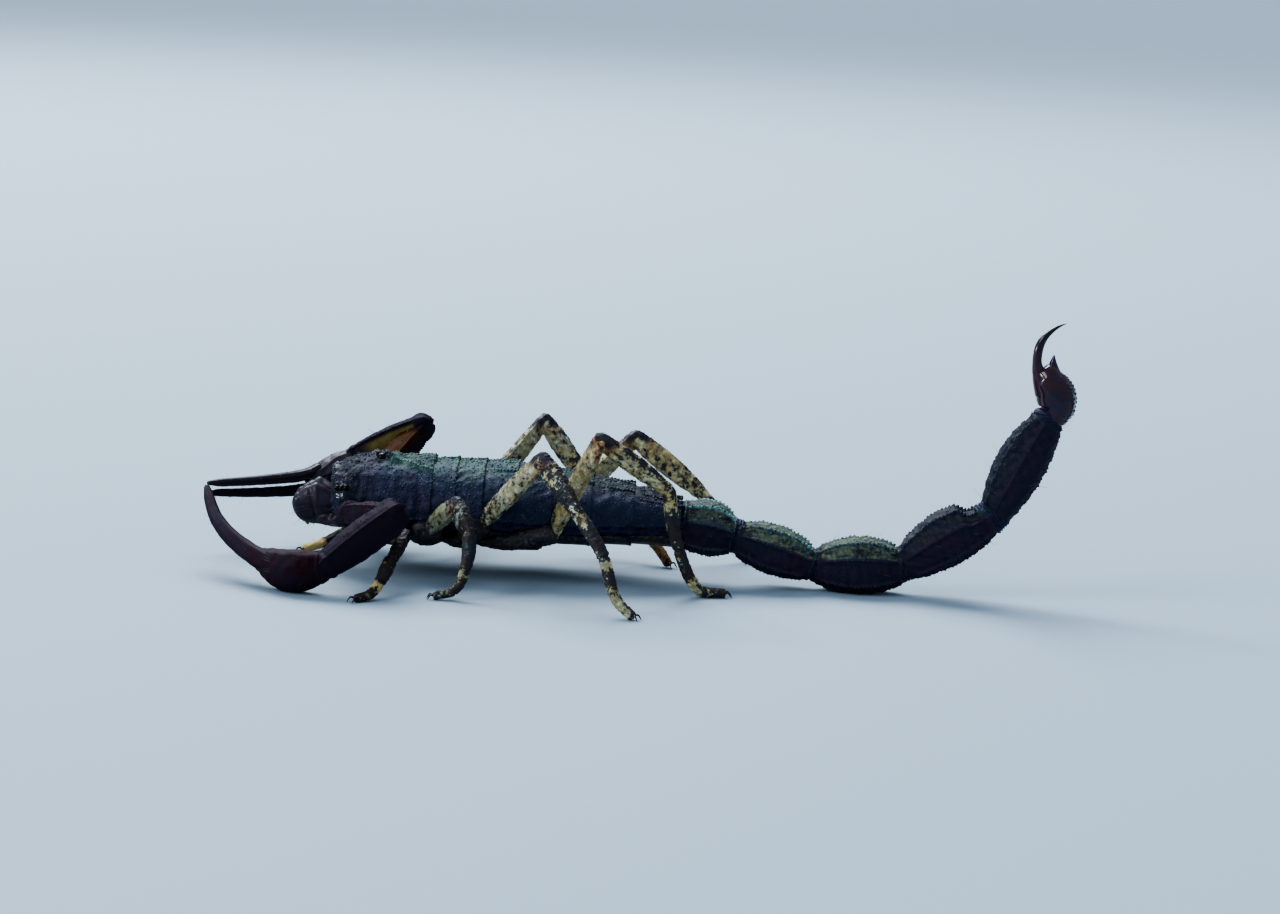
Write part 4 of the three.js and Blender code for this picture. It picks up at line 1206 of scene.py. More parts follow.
def bristle_tree():
    net = Net(bpy.data.node_groups.new("bristles", "GeometryNodeTree"))
    surface, density, short, long, thick, lean, seed, finish = net.takes(
        ("Geometry", "Geometry"), ("Hairs per square mm", "Float", 2.0), ("Shortest", "Float", 0.3),
        ("Longest", "Float", 0.7), ("Thickness share", "Float", 0.018), ("Lean", "Float", 0.7),
        ("Seed", "Int", 1), ("Finish", "Material"))

    line = net.add("GeometryNodeCurveQuadraticBezier", {},
                   {"Resolution": 5, "Start": (0, 0, -0.06), "Middle": (0, 0, 0.55), "End": (0.24, 0, 1)})
    ring = net.ring(3)
    taper = thick * (1 - 0.85 * net.add("GeometryNodeSplineParameter"))
    hair = net.add("GeometryNodeCurveToMesh", {},
                   {"Curve": line, "Profile Curve": ring, "Scale": taper, "Fill Caps": True})
    hair = net.store(hair, "tuft", net.add("GeometryNodeInputPosition"), "FLOAT_VECTOR")

    spots = net.add("GeometryNodeDistributePointsOnFaces", {"distribute_method": "RANDOM"},
                    {"Mesh": surface, "Density": density * net.attribute("hairy"), "Seed": seed})

    def random(low, high, offset, kind="FLOAT"):
        first, out = (2, 1) if kind == "FLOAT" else (0, 0)
        return net.add("FunctionNodeRandomValue", {"data_type": kind},
                       {first: low, first + 1: high, 8: seed + offset}, out)

    lie = net.attribute("lie", "FLOAT_VECTOR")
    leaning = net.scaled(lie, lean)
    jitter = random((-0.25, -0.25, -0.25), (0.25, 0.25, 0.25), 3, "FLOAT_VECTOR")
    way = net.vector("ADD", net.vector("ADD", spots.out("Normal"), leaning), jitter)
    stand = net.add("FunctionNodeAxesToRotation", {"primary_axis": "Z", "secondary_axis": "X"},
                    [way, lie])
    size = random(short, long, 4)
    hairs = net.add("GeometryNodeInstanceOnPoints", {},
                    {"Points": spots, "Instance": hair, "Rotation": stand, "Scale": size})
    hairs = net.add("GeometryNodeRealizeInstances", {}, [hairs])
    across, along = (
        net.add("ShaderNodeSeparateXYZ", {}, [net.attribute("tuft", "FLOAT_VECTOR")], k) for k in (0, 2))
    patch = net.scaled(net.add("ShaderNodeCombineXYZ", {}, [across, along, 0.0]), PATCH)
    spot = net.vector("ADD", net.attribute("unwrap", "FLOAT_VECTOR"), patch)
    return net.gives(net.store(hairs, "OFBake", spot, "FLOAT2", "CORNER"), finish)


BRISTLES = bristle_tree()


def bristled(name, shapes, seed, count=2.0, short=0.3, long=0.7, lean=0.7, thick=0.018):
    """Bristles that grow from these shapes, as one piece."""
    thing = grown(as_object(name, joined(shapes)), BRISTLES, hairs_per_square_mm=count, shortest=short,
                  longest=long, lean=lean, thickness_share=thick, seed=seed)
    return settle(thing, "bristle", "bristle", keep_map="OFBake")


print("bristle tree has", len(BRISTLES.nodes), "nodes")

# %% [markdown]
# ## Horns: claws, spurs, fangs and sting
# A claw is a curve with a thickness that runs out to a point. The horn tree sweeps a ring along a
# line of edges whose points carry their own `thick`, so one tree serves every pointed part.

# %% The horn tree
def horn_tree():
    net = Net(bpy.data.node_groups.new("horn", "GeometryNodeTree"))
    lines, sides, finish = net.takes(
        ("Geometry", "Geometry"), ("Sides", "Int", 12), ("Finish", "Material"))
    curve = net.add("GeometryNodeMeshToCurve", {}, [lines])
    ring = net.ring(sides)
    swept = net.add("GeometryNodeCurveToMesh", {}, {
        "Curve": curve, "Profile Curve": ring, "Scale": net.attribute("thick"), "Fill Caps": True})
    return net.gives(swept, finish)


HORN = horn_tree()


def horn_track(route, t, thick, start=0.0):
    """A line for the horn tree along a route. start is its first `along` mark."""
    return {"points": route.at(t), "out": route.along(t), "size": 1.0,
            "marks": {"thick": thick, "along": start + t, "raised": 0 * t}}


def horn_line(points, thick, tip=0.012, count=24):
    """A smooth line through points that thins out to a tip."""
    t = np.linspace(0, 1, count)
    girth = tip + (thick - tip) * (1 - t) ** 0.7
    rim = np.concatenate([[0.05], np.ones(count - 1)])
    return horn_track(Route(points), t, girth * rim)


def horns(name, lines, finish, slot, nodes=(), sides=12):
    return settle(grown(keel_lines(name, lines), HORN, sides=sides), finish, slot, nodes)


print("horn tree has", len(HORN.nodes), "nodes")

# %% [markdown]
# ## Carapace
# The head and the four leg-bearing segments share one shield. It is lowest at its front lip, rises to
# the mound that carries the two middle eyes, and is cut by a furrow down the middle that opens into a
# trough behind. Short granular keels run beside the furrow and over the eyes like brows. It is a
# plate over the trunk's own section, with the mound and furrows added along its normals.

# %% Carapace
SIDES = (("left", -1), ("right", 1))
LIP, LIP_DEPTH, LIP_DROP = 0.1, 0.26, 0.6
# how square the trunk's section is, across and upwards
SQUARE_ACROSS, SQUARE_UP = 0.85, 0.72
# the shield's rear overlap, and the angles round the trunk of its left and right rims, in degrees
SHIELD_LAP, LEFT_RIM, RIM_TO_RIM = 0.15, -9, 198


def trunk_point(x, a, grow=0.0):
    """The trunk's surface at x and at the angle a round it, where 0 is its left and 90 degrees its back."""
    half, back, belly = np.moveaxis(read_table(TRUNK, x), -1, 0)
    middle = np.minimum(CARAPACE["margin"], (back + belly) / 2 + 0.1)
    reach = np.where(np.sin(a) >= 0, back - middle, middle - belly) + grow
    y = -(half + grow) * power(np.cos(a), SQUARE_ACROSS)
    return np.stack(np.broadcast_arrays(x, y, middle + reach * power(np.sin(a), SQUARE_UP)), -1)


def lip_front(a):
    """Where the front edge lies: a shallow notch in the middle and rounded corners."""
    return CARAPACE["front"] + 0.14 * hill(np.cos(a), 0, 0.25) + 0.45 * np.cos(a) ** 4


def carapace_place(u, v):
    a = np.radians(LEFT_RIM + RIM_TO_RIM * u)
    curl = (1 - np.clip(v / LIP, 0, 1)) * math.pi / 2
    run = np.clip((v - LIP) / (1 - LIP), 0, 1)
    front = lip_front(a)
    x = front + LIP_DEPTH * (1 - np.sin(curl)) + run * (CARAPACE["back"] + SHIELD_LAP - front - LIP_DEPTH)
    points = trunk_point(x, a, 0.02)
    points[..., 2] -= LIP_DROP * (1 - np.cos(curl)) * np.clip(np.sin(a), 0, 1) ** SQUARE_UP
    return points


def carapace_spot(x, y):
    """The (v, u) of the carapace's grid above x and y."""
    half = read_table(TRUNK, x)[..., 0]
    a = np.arccos(np.clip(power(-y / half, 1 / SQUARE_ACROSS), -1, 1))
    front = lip_front(a)
    run = (x - front - LIP_DEPTH) / (CARAPACE["back"] + SHIELD_LAP - front - LIP_DEPTH)
    return LIP + run * (1 - LIP), (np.degrees(a) - LEFT_RIM) / RIM_TO_RIM


shield = Plate(120, 150, carapace_place, 0.22)
X, Y = shield.points[..., 0], shield.points[..., 1]
middle, far_back = np.abs(Y), rise(X, -14.4, -13.0)
mound = np.exp(-(((X - MOUND["x"]) / MOUND["long"]) ** 2) - (Y / MOUND["wide"]) ** 2)
relief = MOUND["high"] * mound
# the furrow, the trough behind it and the swellings and hollows beside them
relief -= 0.13 * hill(Y, 0, 0.13) * (1 - 0.4 * mound) + 0.24 * hill(middle, 0, 0.34) * far_back
relief += 0.16 * hill(middle, 0.75, 0.3) * far_back
relief -= 0.08 * hill(middle, 1.3, 0.3) * rise(X, -17.2, -16) * (1 - far_back)
relief += 0.08 * hill(middle, 0.85, 0.35) * hill(X, -17.0, 0.7)
relief -= 0.1 * hill(X, -13.0, 0.25) * rise(middle, 0.9, 1.4)
# a ridge runs back and outwards from behind each middle eye
ridge_y = np.interp(X, [-15.2, -14.6, -12.5], [0.55, 0.9, 1.85])
ridge = hill(middle, ridge_y, 0.17) * rise(X, -15.3, -14.9)
relief += 0.13 * ridge - 0.06 * hill(middle, ridge_y + 0.42, 0.22) * rise(X, -15.3, -14.5)
relief += 0.035 * lumps(shield.points, 0.9, 3) + 0.012 * lumps(shield.points, 0.4, 4)
# raised edges behind and in front, the corners of the small eyes and the sockets of the middle ones
front_rim = hill(shield.v, 0.09, 0.035)
relief += 0.03 * hill(shield.v, 0.97, 0.025) + 0.06 * front_rim * (0.6 + 0.4 * np.sin(34 * shield.u))
corner = np.hypot(X - LATERAL_EYES["first"][0] - 0.28, middle - LATERAL_EYES["first"][1] - 0.1)
relief += 0.12 * hill(corner, 0.15, 0.3)
for side, sign in SIDES:
    away = np.hypot(X - MEDIAN_EYE["x"], Y - sign * MEDIAN_EYE["y"])
    relief += 0.07 * hill(away, 0.4, 0.08) - 0.14 * hill(away, 0, 0.26)
rear = rise(X, -16.2, -14.6)
dusty = 0.25 + 0.75 * rear
eye_gap = np.hypot(X - MEDIAN_EYE["x"], middle - MEDIAN_EYE["y"])
night = np.clip(0.8 * gone(X, -17.2, -14.9) + 0.9 * gone(eye_gap, 0.45, 0.9), 0, 0.95)
shield.raise_by(relief)
# paler towards the top and on the ridges behind the eyes, partly dust and partly a painted sky sheen
pale_lift = rise(shield.points[..., 2], 5.4, 6.9) * dusty + 0.6 * ridge
shield.mark(
    raised=np.clip(0.35 * rise(relief, 0.05, 0.3) + 0.8 * ridge, 0, 1),
    height=np.clip(pale_lift, 0, 1) * (1 - night), dusty=dusty, night=night,
    shine=np.clip(hill(corner, 0.1, 0.25) + 0.6 * front_rim, 0, 1),
    grain=(0.5 + 0.5 * rear) * (1 - 0.8 * hill(shield.u, 0, 0.04)), hairy=0.4 * gone(shield.v, 0.03, 0.3))

# x and y of both ends of the left keels, and the size of their beads
HEAD_KEELS = [
    [(-17.6, 0.55), (-16.5, 0.3), 0.8], [(-16.35, 0.3), (-14.6, 0.3), 0.8],
    [(-15.1, 0.6), (-14.5, 0.95), 1.1], [(-14.5, 0.95), (-12.5, 1.85), 1.1],
    [(-14.0, 0.5), (-12.5, 0.8), 0.9],
]
head_keels = [track(shield, (v, rim), (v, 1 - rim), size)
              for v, rim, size in ((0.09, 0.12, 1.15), (0.975, 0.08, 0.4))]
for side, sign in SIDES:
    for (x0, y0), (x1, y1), size in HEAD_KEELS:
        ends = carapace_spot(x0, sign * y0), carapace_spot(x1, sign * y1)
        head_keels.append(track(shield, *ends, size))
    edge = 0.012 if sign < 0 else 0.988
    head_keels.append(track(shield, (0.14, edge), (0.93, edge), 0.7))
carapace_shape = shield.shape()
finished("carapace", carapace_shape, "back_shell", "back_shell", ["carapace"], head_keels, 11,
         **beads(0.17, 0.09, 0.08, 0.08), **grains(0.17, 0.06))
print("carapace:", tally["carapace"], "triangles")

# %% [markdown]
# ## Eyes
# Two middle eyes sit on either side of the mound, and three small ones at each front corner. They
# are clear domes over black, so each is a polished ball half sunk in its socket.

# %% Eyes
def ball(centre, size, axis=UP, rows=16, sides=32):
    """A closed ball, sized across, upwards and along its axis."""
    axis = unit(np.array(axis, float))
    route = Route([np.array(centre) - 0.01 * axis, np.array(centre) + 0.01 * axis], 2)
    up = UP if abs(axis[2]) < 0.9 else np.array([-1.0, 0, 0])
    tube = Tube(route, 2, sides, oval(size[0], size[1]), up=up, caps=(size[2], size[2]), cap_rows=rows)
    return tube.mark(along=0).shape()


for side, sign in SIDES:
    name, centre = f"median_eye_{side}", [MEDIAN_EYE["x"], sign * MEDIAN_EYE["y"], MEDIAN_EYE["z"] + 0.02]
    finished(name, ball(centre, [MEDIAN_EYE["r"]] * 3, (0, sign, 1)), "eye", "eye", [name])
    small = []
    for k in range(3):
        x, y, z = (LATERAL_EYES["first"][i] + k * LATERAL_EYES["pitch"][i] for i in range(3))
        small.append(ball([x, sign * y, z], [LATERAL_EYES["r"]] * 3, (-0.3, sign, 0.2), 10, 24))
    finished(f"lateral_eyes_{side}", joined(small), "eye", "eye", [f"lateral_eyes_{side}"])
print("eyes:", [name for name in tally if "eye" in name])

# %% [markdown]
# ## Skin of the trunk
# Under and between the plates the body is a bag of leathery skin, pleated along the flanks so that a
# fed animal can swell. It is one closed tube over the trunk's section, a little inside the plates.

# %% Trunk skin
SKIN_Z, SKIN_START, SKIN_END = 3.85, -18.0, TRUNK_BACK - 0.05


def skin_section(t, a):
    points = trunk_point(SKIN_START + t * (SKIN_END - SKIN_START), a, -0.16)
    return -points[..., 1], points[..., 2] - SKIN_Z


skin_route = Route([[SKIN_START, 0, SKIN_Z], [SKIN_END, 0, SKIN_Z]], 60)
bag = Tube(skin_route, 210, 150, skin_section, caps=(0.35, 0.3))
T, A = bag.grid()
flank = hill(np.sin(A), -0.12, 0.32)
pleats = 0.07 * np.sin(26 * A + 1.5 * lumps(bag.points, 2.2, 5)) * flank
sunk = 0.42 * rise(np.sin(A), 0.3, 0.8)
bag.raise_by(pleats - sunk + 0.05 * lumps(bag.points, 0.55, 6) * (0.3 + flank)
             + 0.03 * lumps(bag.points, 0.22, 7))
bag.mark(low=rise(-np.sin(A), 0.1, 0.9), grain=flank * 0.8, raised=rise(pleats, 0.02, 0.07) * 0.5)
finished("prosoma_underside", bag.shape(), "skin", "belly_shell", ["prosoma_underside"], seed=21,
         **grains(0.24, 0.05, 0.7))
print("skin:", tally["prosoma_underside"], "triangles")

# %% [markdown]
# ## Plates of back and belly
# Seven plates cover the back. Each slides under the one before it, so its front strip is smooth and
# sunk, then a step leads up to the granular part, and a row of larger grains edges its rear. The
# seventh carries five keels. The belly has five flat polished plates. The first four have a pair of
# slits each, the openings of the book lungs, and the last has four fine keels. All are one function
# of the trunk's section.

# %% Plates of back and belly
borders = CARAPACE["back"] + (TRUNK_BACK - CARAPACE["back"]) * np.cumsum([0] + SEGMENT_SHARES)
FRONT_TUCK, REAR_LAP, LAST_GAP = 0.22, 0.24, 0.2
TERGITE_ARC, STERNITE_ARC = (-3, 183), (200, 340)
DUST = [1.0, 1.0, 0.9, 0.75, 0.5, 0.25, 0.12]


def body_plate(k, arc, rows, columns, thick, tuck=-0.04, lap=0.03):
    """The plate of segment k + 1 between two angles round the trunk, in degrees."""
    start, end, (low, high) = borders[k], borders[k + 1] - (LAST_GAP if k == 6 else 0), arc

    def place(u, v):
        corner = 5 * np.abs(2 * v - 1) ** 5
        a = np.radians(low + corner + (high - low - 2 * corner) * u)
        x = start - FRONT_TUCK + v * (end - start + FRONT_TUCK + REAR_LAP)
        return trunk_point(x, a, tuck + (lap - tuck) * v ** 1.4)

    return Plate(rows, columns, place, thick)


def hills(u, places, width):
    return sum(hill(u, p, width) for p in places)


def keel_growth(s):
    return 0.6 + 0.8 * s


def tergite(k):
    plate = body_plate(k, TERGITE_ARC, 26 + int(12 * (borders[k + 1] - borders[k])), 120, 0.12)
    u, v, dust = plate.u, plate.v, DUST[k]
    beside = [0.38, 0.62, 0.27, 0.73] if k == 6 else [0.36, 0.64] if k > 1 else []
    keel = (hill(u, 0.5, 0.012) + 0.7 * hills(u, beside, 0.012)) * rise(v, 0.25, 0.4)
    step = 0.02 * rise(v, 0.13, 0.24) + 0.01 * rise(v, 0.86, 0.95)
    hollow = -0.07 * hills(u, (0.43, 0.57), 0.035) * hill(v, 0.5, 0.25)
    tucked = (k == 0) * 0.3 * hill(plate.points[..., 1], 0, 0.4) * gone(v, 0.2, 0.5)
    plate.raise_by(step + 0.08 * keel + hollow - tucked + 0.03 * lumps(plate.points, 0.7, 30 + k))
    rear = rise(v, 0.2, 0.27)
    upright = np.sin(np.radians(TERGITE_ARC[0] + (TERGITE_ARC[1] - TERGITE_ARC[0]) * u))
    # `height` makes the faces that look up paler, partly dust and partly a painted sky sheen
    plate.mark(raised=np.clip(keel * 0.5 + (0.2 if k > 2 else 0.1) * rise(v, 0.9, 0.95), 0, 1), dusty=dust,
               shine=0, grain=0.9 * rear, night=(k > 3) * 0.8 * rise(upright, 0.6, 0.95),
               height=np.clip(upright, 0, 1) ** 1.5 * (0.3 + 0.7 * rear) * (0.4 + 0.6 * dust))
    rim = 0.35 if k < 3 else 0.55
    rows = [track(plate, (0.965, 0.05), (0.965, 0.95), rim), track(plate, (0.21, 0.08), (0.21, 0.92), 0.3)]
    rows += [track(plate, (0.25, p), (0.985, p), keel_growth, count=20) for p in [0.5, *beside]]
    finished(f"tergite_{k + 1}", plate.shape(), "back_shell", "back_shell", [f"mesosoma_{k + 1}"], rows,
             31 + k, **beads(0.2, 0.1, 0.085, 0.09), **grains(0.19, 0.065))


def sternite(k):
    plate = body_plate(k, STERNITE_ARC, 26, 70, 0.1, -0.06, 0.05)
    u, v = plate.u, plate.v
    slit_v = 0.62 + 0.5 * (u - 0.5) ** 2
    if k < 6:
        relief = -0.07 * hills(u, (0.24, 0.76), 0.05) * hill(v, slit_v, 0.035)
        relief = relief - 0.03 * hills(u, (0.36, 0.64), 0.01) * hill(v, 0.55, 0.3)
    else:
        relief = 0.04 * hills(u, (0.3, 0.42, 0.58, 0.7), 0.012) * hill(v, 0.55, 0.3)
    plate.raise_by(relief + 0.03 * rise(v, 0.9, 0.95)).mark(raised=0, grain=0, low=1)
    finished(f"sternite_{k + 1}", plate.shape(), "belly_shell", "belly_shell",
             tracks=[track(plate, (0.97, 0.06), (0.97, 0.94), 0.6)], **beads(0.14, 0.06, 0.045, 0.04))


for k in range(7):
    tergite(k)
for k in range(2, 7):
    sternite(k)
print("back and belly plates:", count_triangles("tergite") + count_triangles("sternite"), "triangles")

# %% [markdown]
# ## Underside of the head, and the combs
# The first segments of the legs are fixed wedges that meet round a small breastplate. Behind them
# lies the cover of the genital opening, and behind that the combs: feelers that only scorpions have,
# each a jointed spine with a row of about 18 teeth, swept over the ground as the animal walks.

# %% Coxae, breastplate and combs
COXA_ROOTS = [[-14.0, 0.6], [-12.6, 0.6], [-11.3, 0.7], [-10.4, 1.1]]
COXA_MIDDLES = [[-14.3, 1.7, 2.3], [-12.4, 1.9, 2.35], [-10.2, 2.1, 2.35], [-7.6, 2.6, 2.5]]

def mirrored(point, sign):
    """A point of the left or right side from its place with y counted outwards."""
    return np.array(point, float) * [1, sign, 1]


def coxa(k, hip, sign):
    """The fixed wedge at the root of a leg."""
    inner = mirrored([*COXA_ROOTS[k], 2.5], sign)
    wide = 0.7 if k == 3 else 0.92
    wedge = Tube(Route([inner, mirrored(COXA_MIDDLES[k], sign), hip + [0, sign * 0.25, 0.05]]), 40, 36,
                 oval(lambda t: wide + 0.12 * np.sin(np.pi * t), lambda t: 0.45 + 0.2 * t), caps=(0.3, 0.35))
    t = wedge.grid()[0]
    wedge.raise_by(0.03 * lumps(wedge.points, 0.5, 50 + k))
    wedge.mark(grain=0.4 * rise(t, 0.3, 0.6), reach=0.05 + 0.1 * t, hairy=0.5 * t, top=0, raised=0)
    return wedge.shape()


def comb(side, sign):
    """The jointed spine with its teeth, which are tall thin beads in one row."""
    spine = Tube(Route([mirrored(COMB[place], sign) for place in ("root", "middle", "tip")]), 60, 20,
                 oval(lambda t: 0.34 * (1 - 0.55 * t), 0.16), caps=(0.12, 0.12))
    t = spine.grid()[0]
    spine.raise_by(-0.04 * hill(np.sin(3 * np.pi * t), 0, 0.12)).mark(grain=0, raised=0)
    s = np.linspace(0.04, 0.97, 50)
    edge = np.full(len(s), 0.0 if sign > 0 else math.pi)
    row = {"points": spine.sample(s, edge, spine.points), "size": 1 - 0.35 * s,
           "out": unit(spine.sample(s, edge, spine.normals) + [0.5, 0, -0.35]),
           "marks": {"low": np.ones(len(s))}}
    finished(f"comb_{side}", spine.shape(), "belly_shell", "belly_shell", [f"pectine_{side}"], [row], 57,
             **beads(0.185, 0.075, 0.1, 0.42, 0.1, 0.0))


for side, sign in SIDES:
    wedges = [coxa(k, np.array(joints_of[0]), sign) for k, joints_of in enumerate(LEGS[side])]
    finished(f"coxae_{side}", joined(wedges), "belly_shell", "belly_shell", seed=55, **grains(0.2, 0.04))
    comb(side, sign)
breast = ball([-11.6, 0, 2.12], [0.55, 0.16, 0.75], (1, 0, 0))
cover = ball([-9.6, 0, 2.06], [0.95, 0.16, 0.55], (1, 0, 0))
finished("breastplate", joined([breast, cover]), "belly_shell", "belly_shell")
print("coxae and combs:", tally["coxae_left"], tally["comb_left"], "triangles a side")

# %% [markdown]
# ## Tail
# Five ringed segments with sharp keels. Each is a faceted tube: its round section is pulled towards
# straight faces between the keels, and the beads that tip the keels are instanced along them, with a
# larger tooth at the rear end of the upper ones. The last is rounder, with a saw below. The ends draw
# in to a neck with a raised rim, where soft skin joins them.

# %% Tail
DORSAL, SIDE_KEEL, LOWER_SIDE, LOWEST = 38, 75, 127, 160
TAIL_KEELS = [[90 + s * k for k in (DORSAL, SIDE_KEEL, LOWER_SIDE, LOWEST) for s in (-1, 1)]] * 4
TAIL_KEELS += [[52, 128, 8, 172, 322, 218, 270]]
OLIVE = [0.75, 1.0, 1.0, 0.2, 0.1]
# how pale the keels of each segment are, partly their own colour and partly a painted glint
PALE_KEELS = [1.6, 0.8, 0.6, 0.35, 0.2]
BACKWARD = np.array([0.0, 1.0, 0.0])
tail_points = [np.array([x, 0, z]) for x, z in TAIL + [TELSON_END]]


def tail_section(k):
    """A segment's round section, slim at both ends. The first starts wide, where it joins the trunk."""
    wide, above, below = TAIL_SIZE[k]

    def slim(t, more, peak=0.5):
        neck = TAIL_NECK + 0 * t if k else 0.85 - 0.25 * np.minimum(1, 2 * t)
        return swell(t, neck + more, peak)

    def back(t):
        # behind its last teeth the back of the fourth segment drops
        return above * slim(t, -0.06, 0.52) * (1 - (k == 3) * 0.38 * rise(t, 0.71, 0.79))

    return oval(lambda t: wide * slim(t, 0), back, lambda t: below * slim(t, 0.08), 0.85)


def tooth_size(k, upper):
    """The size of the beads along a keel, largest at the rear end of the upper keels."""
    def size(s):
        along = 0.7 + 0.75 * s ** 3 if upper else 0.5 if k < 4 else 0.7
        return along * (0.7 if k == 4 else 1.0) * (0.6 + 0.4 * np.clip(np.sin(np.pi * s), 0, 1) ** 0.4)

    return size


def tail_segment(k):
    keels, top = TAIL_KEELS[k], math.pi / 2
    section = flattened(tail_section(k), keels, 0.5 if k < 4 else 0.12)
    segment = Tube(Route(tail_points[k:k + 2]), 130, 144, section, hinge=BACKWARD, caps=(0.45, 0.45),
                   cap_rows=8)
    t, a = segment.grid()
    body = rise(t, 0.04, 0.16) * gone(t, 0.88, 0.97)
    crest = ridges(a, keels, 3.5) * body
    rims = 0.4 * hill(t, 0.035, 0.022) + 0.7 * hill(t, 0.965, 0.022)
    groove = hill(a, top, 0.3) * hill(t, 0.5, 0.35)
    groove += (k == 3) * 2.6 * hill(a, top, 0.42) * rise(t, 0.12, 0.3) * gone(t, 0.6, 0.74)
    # the fourth segment ends in a pair of raised flanges
    flange = (k == 3) * ridges(a, [52, 128], 11) * 0.14 * hill(t, 0.93, 0.05)
    segment.raise_by((0.11 if k < 4 else 0.06) * crest + 0.09 * rims - 0.1 * groove * (k < 4) + flange
                     + 0.03 * lumps(segment.points, 0.6, 60 + k))
    segment.mark(
        # the flange's pale colour is a painted highlight, through `raised`, `pale` and `crown`
        raised=np.clip((0.5 + 0.4 * (k == 0)) * crest + 0.6 * rims + 3 * flange, 0, 1),
        # the olive faces fade towards the lower side as painted shade
        face=(1 - ridges(a, keels, 6)) * body * (0.15 + 0.85 * rise(np.sin(a), 0.15, 0.4)),
        olive=OLIVE[k], along=t, pale=PALE_KEELS[k] + 2 * flange,
        # `crown` is the upper side; the finish paints the lower side lighter as fill light
        crown=rise(np.sin(a), 0.2, 0.7) * (0.25 if k == 3 else 1) + 4 * flange,
        grain=(0.35 + 0.4 * (k == 4)) * body, hairy=0.25)
    rows = []
    for keel in keels:
        upper = math.sin(math.radians(keel)) > 0.3
        rows += along_keels(segment, [keel], 0.07, 0.93, tooth_size(k, upper), count=60)
    for end in (0.035, 0.965):
        rows.append(track(segment, (end, 0.0), (end, 2 * math.pi), 0.5, 0.01, 90))
    shape = segment.shape()
    finished(f"metasoma_{k + 1}", shape, "tail_shell", "tail_shell", [f"metasoma_{k + 1}"], rows, 61 + k,
             **beads(0.24, 0.12, 0.085, 0.14, 0.5, 0.35), **grains(0.26, 0.055))
    return shape


def tail_joint(k):
    """Folded skin in the gap behind segment k."""
    before, here, after = tail_points[k - 1:k + 2]
    way = unit(unit(here - before) + unit(after - here))
    wide, above = TAIL_SIZE[k - 1][:2]
    knot = Tube(Route([here - 0.42 * way, here + 0.42 * way], 2), 40, 48,
                oval(wide * 0.6, above * 0.56, above * 0.504), hinge=BACKWARD, caps=(0.2, 0.2))
    t = knot.grid()[0]
    knot.raise_by(0.03 * np.sin(30 * t) + 0.02 * lumps(knot.points, 0.2, 70 + k))
    return knot.mark(raised=0).shape()


tail_shapes = [tail_segment(k) for k in range(5)]
finished("tail_joints", joined([tail_joint(k) for k in range(1, 6)]), "skin", "membrane")
print("tail segments:", [tally[f"metasoma_{k}"] for k in range(1, 6)], "triangles")

# %% [markdown]
# ## Venom bulb and sting
# The bulb is a polished flask that swells towards its lower side, with a pointed tubercle under the
# sting. The sting itself is a hollow thorn that curves back over the tail.

# %% Venom bulb and sting
def read_by_place(route, places, values):
    """Values given at some points of a route, as a function of the share along it."""
    nearest = [route.share[np.argmin(np.linalg.norm(route.line - p, axis=1))] for p in places]
    return lambda t: read_table(np.column_stack([nearest, values]), t)[..., 0]


# x, z, half thickness in the plane of the bend and half width
BULB = [
    [24.3, 10.95, 0.62, 0.66], [24.5, 11.4, 0.86, 0.86], [24.63, 11.95, 1.06, 1.02],
    [24.52, 12.5, 1.16, 1.06], [24.34, 13.0, 1.08, 1.02], [24.06, 13.45, 0.92, 0.9],
    [23.85, 13.82, 0.75, 0.74], [23.62, 14.08, 0.54, 0.5],
]
# x, z and half thickness
STING = [
    [23.84, 12.5, 0.55], [23.7, 13.05, 0.56], [23.48, 13.7, 0.48], [23.31, 14.1, 0.36], [23.23, 14.5, 0.285],
    [23.22, 14.85, 0.275], [23.29, 15.42, 0.265], [23.45, 15.85, 0.23], [23.72, 16.2, 0.165],
    [24.08, 16.54, 0.115], [24.45, 16.79, 0.065], [24.8, 16.94, 0.015],
]
THORN = [
    [24.25, 13.6, 0.62], [24.22, 14.0, 0.46], [24.2, 14.3, 0.31], [24.18, 14.6, 0.2], [24.21, 15.03, 0.02],
]
BULB_KEELS = [232, 270, 308]


def thorn_line(rows, start, count=50):
    """A horn through rows of x, z and half thickness."""
    places = [np.array([x, 0, z]) for x, z, r in rows]
    route = Route(places)
    t = np.linspace(0, 1, count)
    thick = read_by_place(route, places, [r for x, z, r in rows])(t)
    thick[0] *= 0.3
    return horn_track(route, t, thick, start)


bulb_places = [np.array([x, 0, z]) for x, z, tall, wide in BULB]
bulb_route = Route(bulb_places)
bulb_tall, bulb_wide = (read_by_place(bulb_route, bulb_places, [row[i] for row in BULB]) for i in (2, 3))
bulb = Tube(bulb_route, 110, 96, oval(bulb_wide, bulb_tall), hinge=BACKWARD, caps=(0.3, 0.12), cap_rows=8)
t, a = bulb.grid()
under = rise(-np.sin(a), 0.1, 0.7)
bulb.raise_by(0.012 * lumps(bulb.points, 0.9, 80) - 0.05 * ridges(a, [60, 120], 10) * hill(t, 0.5, 0.3)
              + 0.04 * ridges(a, BULB_KEELS, 6) * hill(t, 0.4, 0.25))
bulb.mark(grain=under * rise(t, 0.05, 0.2) * gone(t, 0.75, 0.9) * 0.9,
          hairy=0.5 * rise(-np.sin(a), -0.3, 0.5), raised=0, along=0.7 * t)
bulb_shape = bulb.shape()
finished("telson", bulb_shape, "sting_shell", "sting_shell", ["telson"],
         along_keels(bulb, BULB_KEELS, 0.08, 0.62, 0.9, 0.0), 81,
         **beads(0.24, 0.1, 0.09, 0.045), **grains(0.24, 0.055))
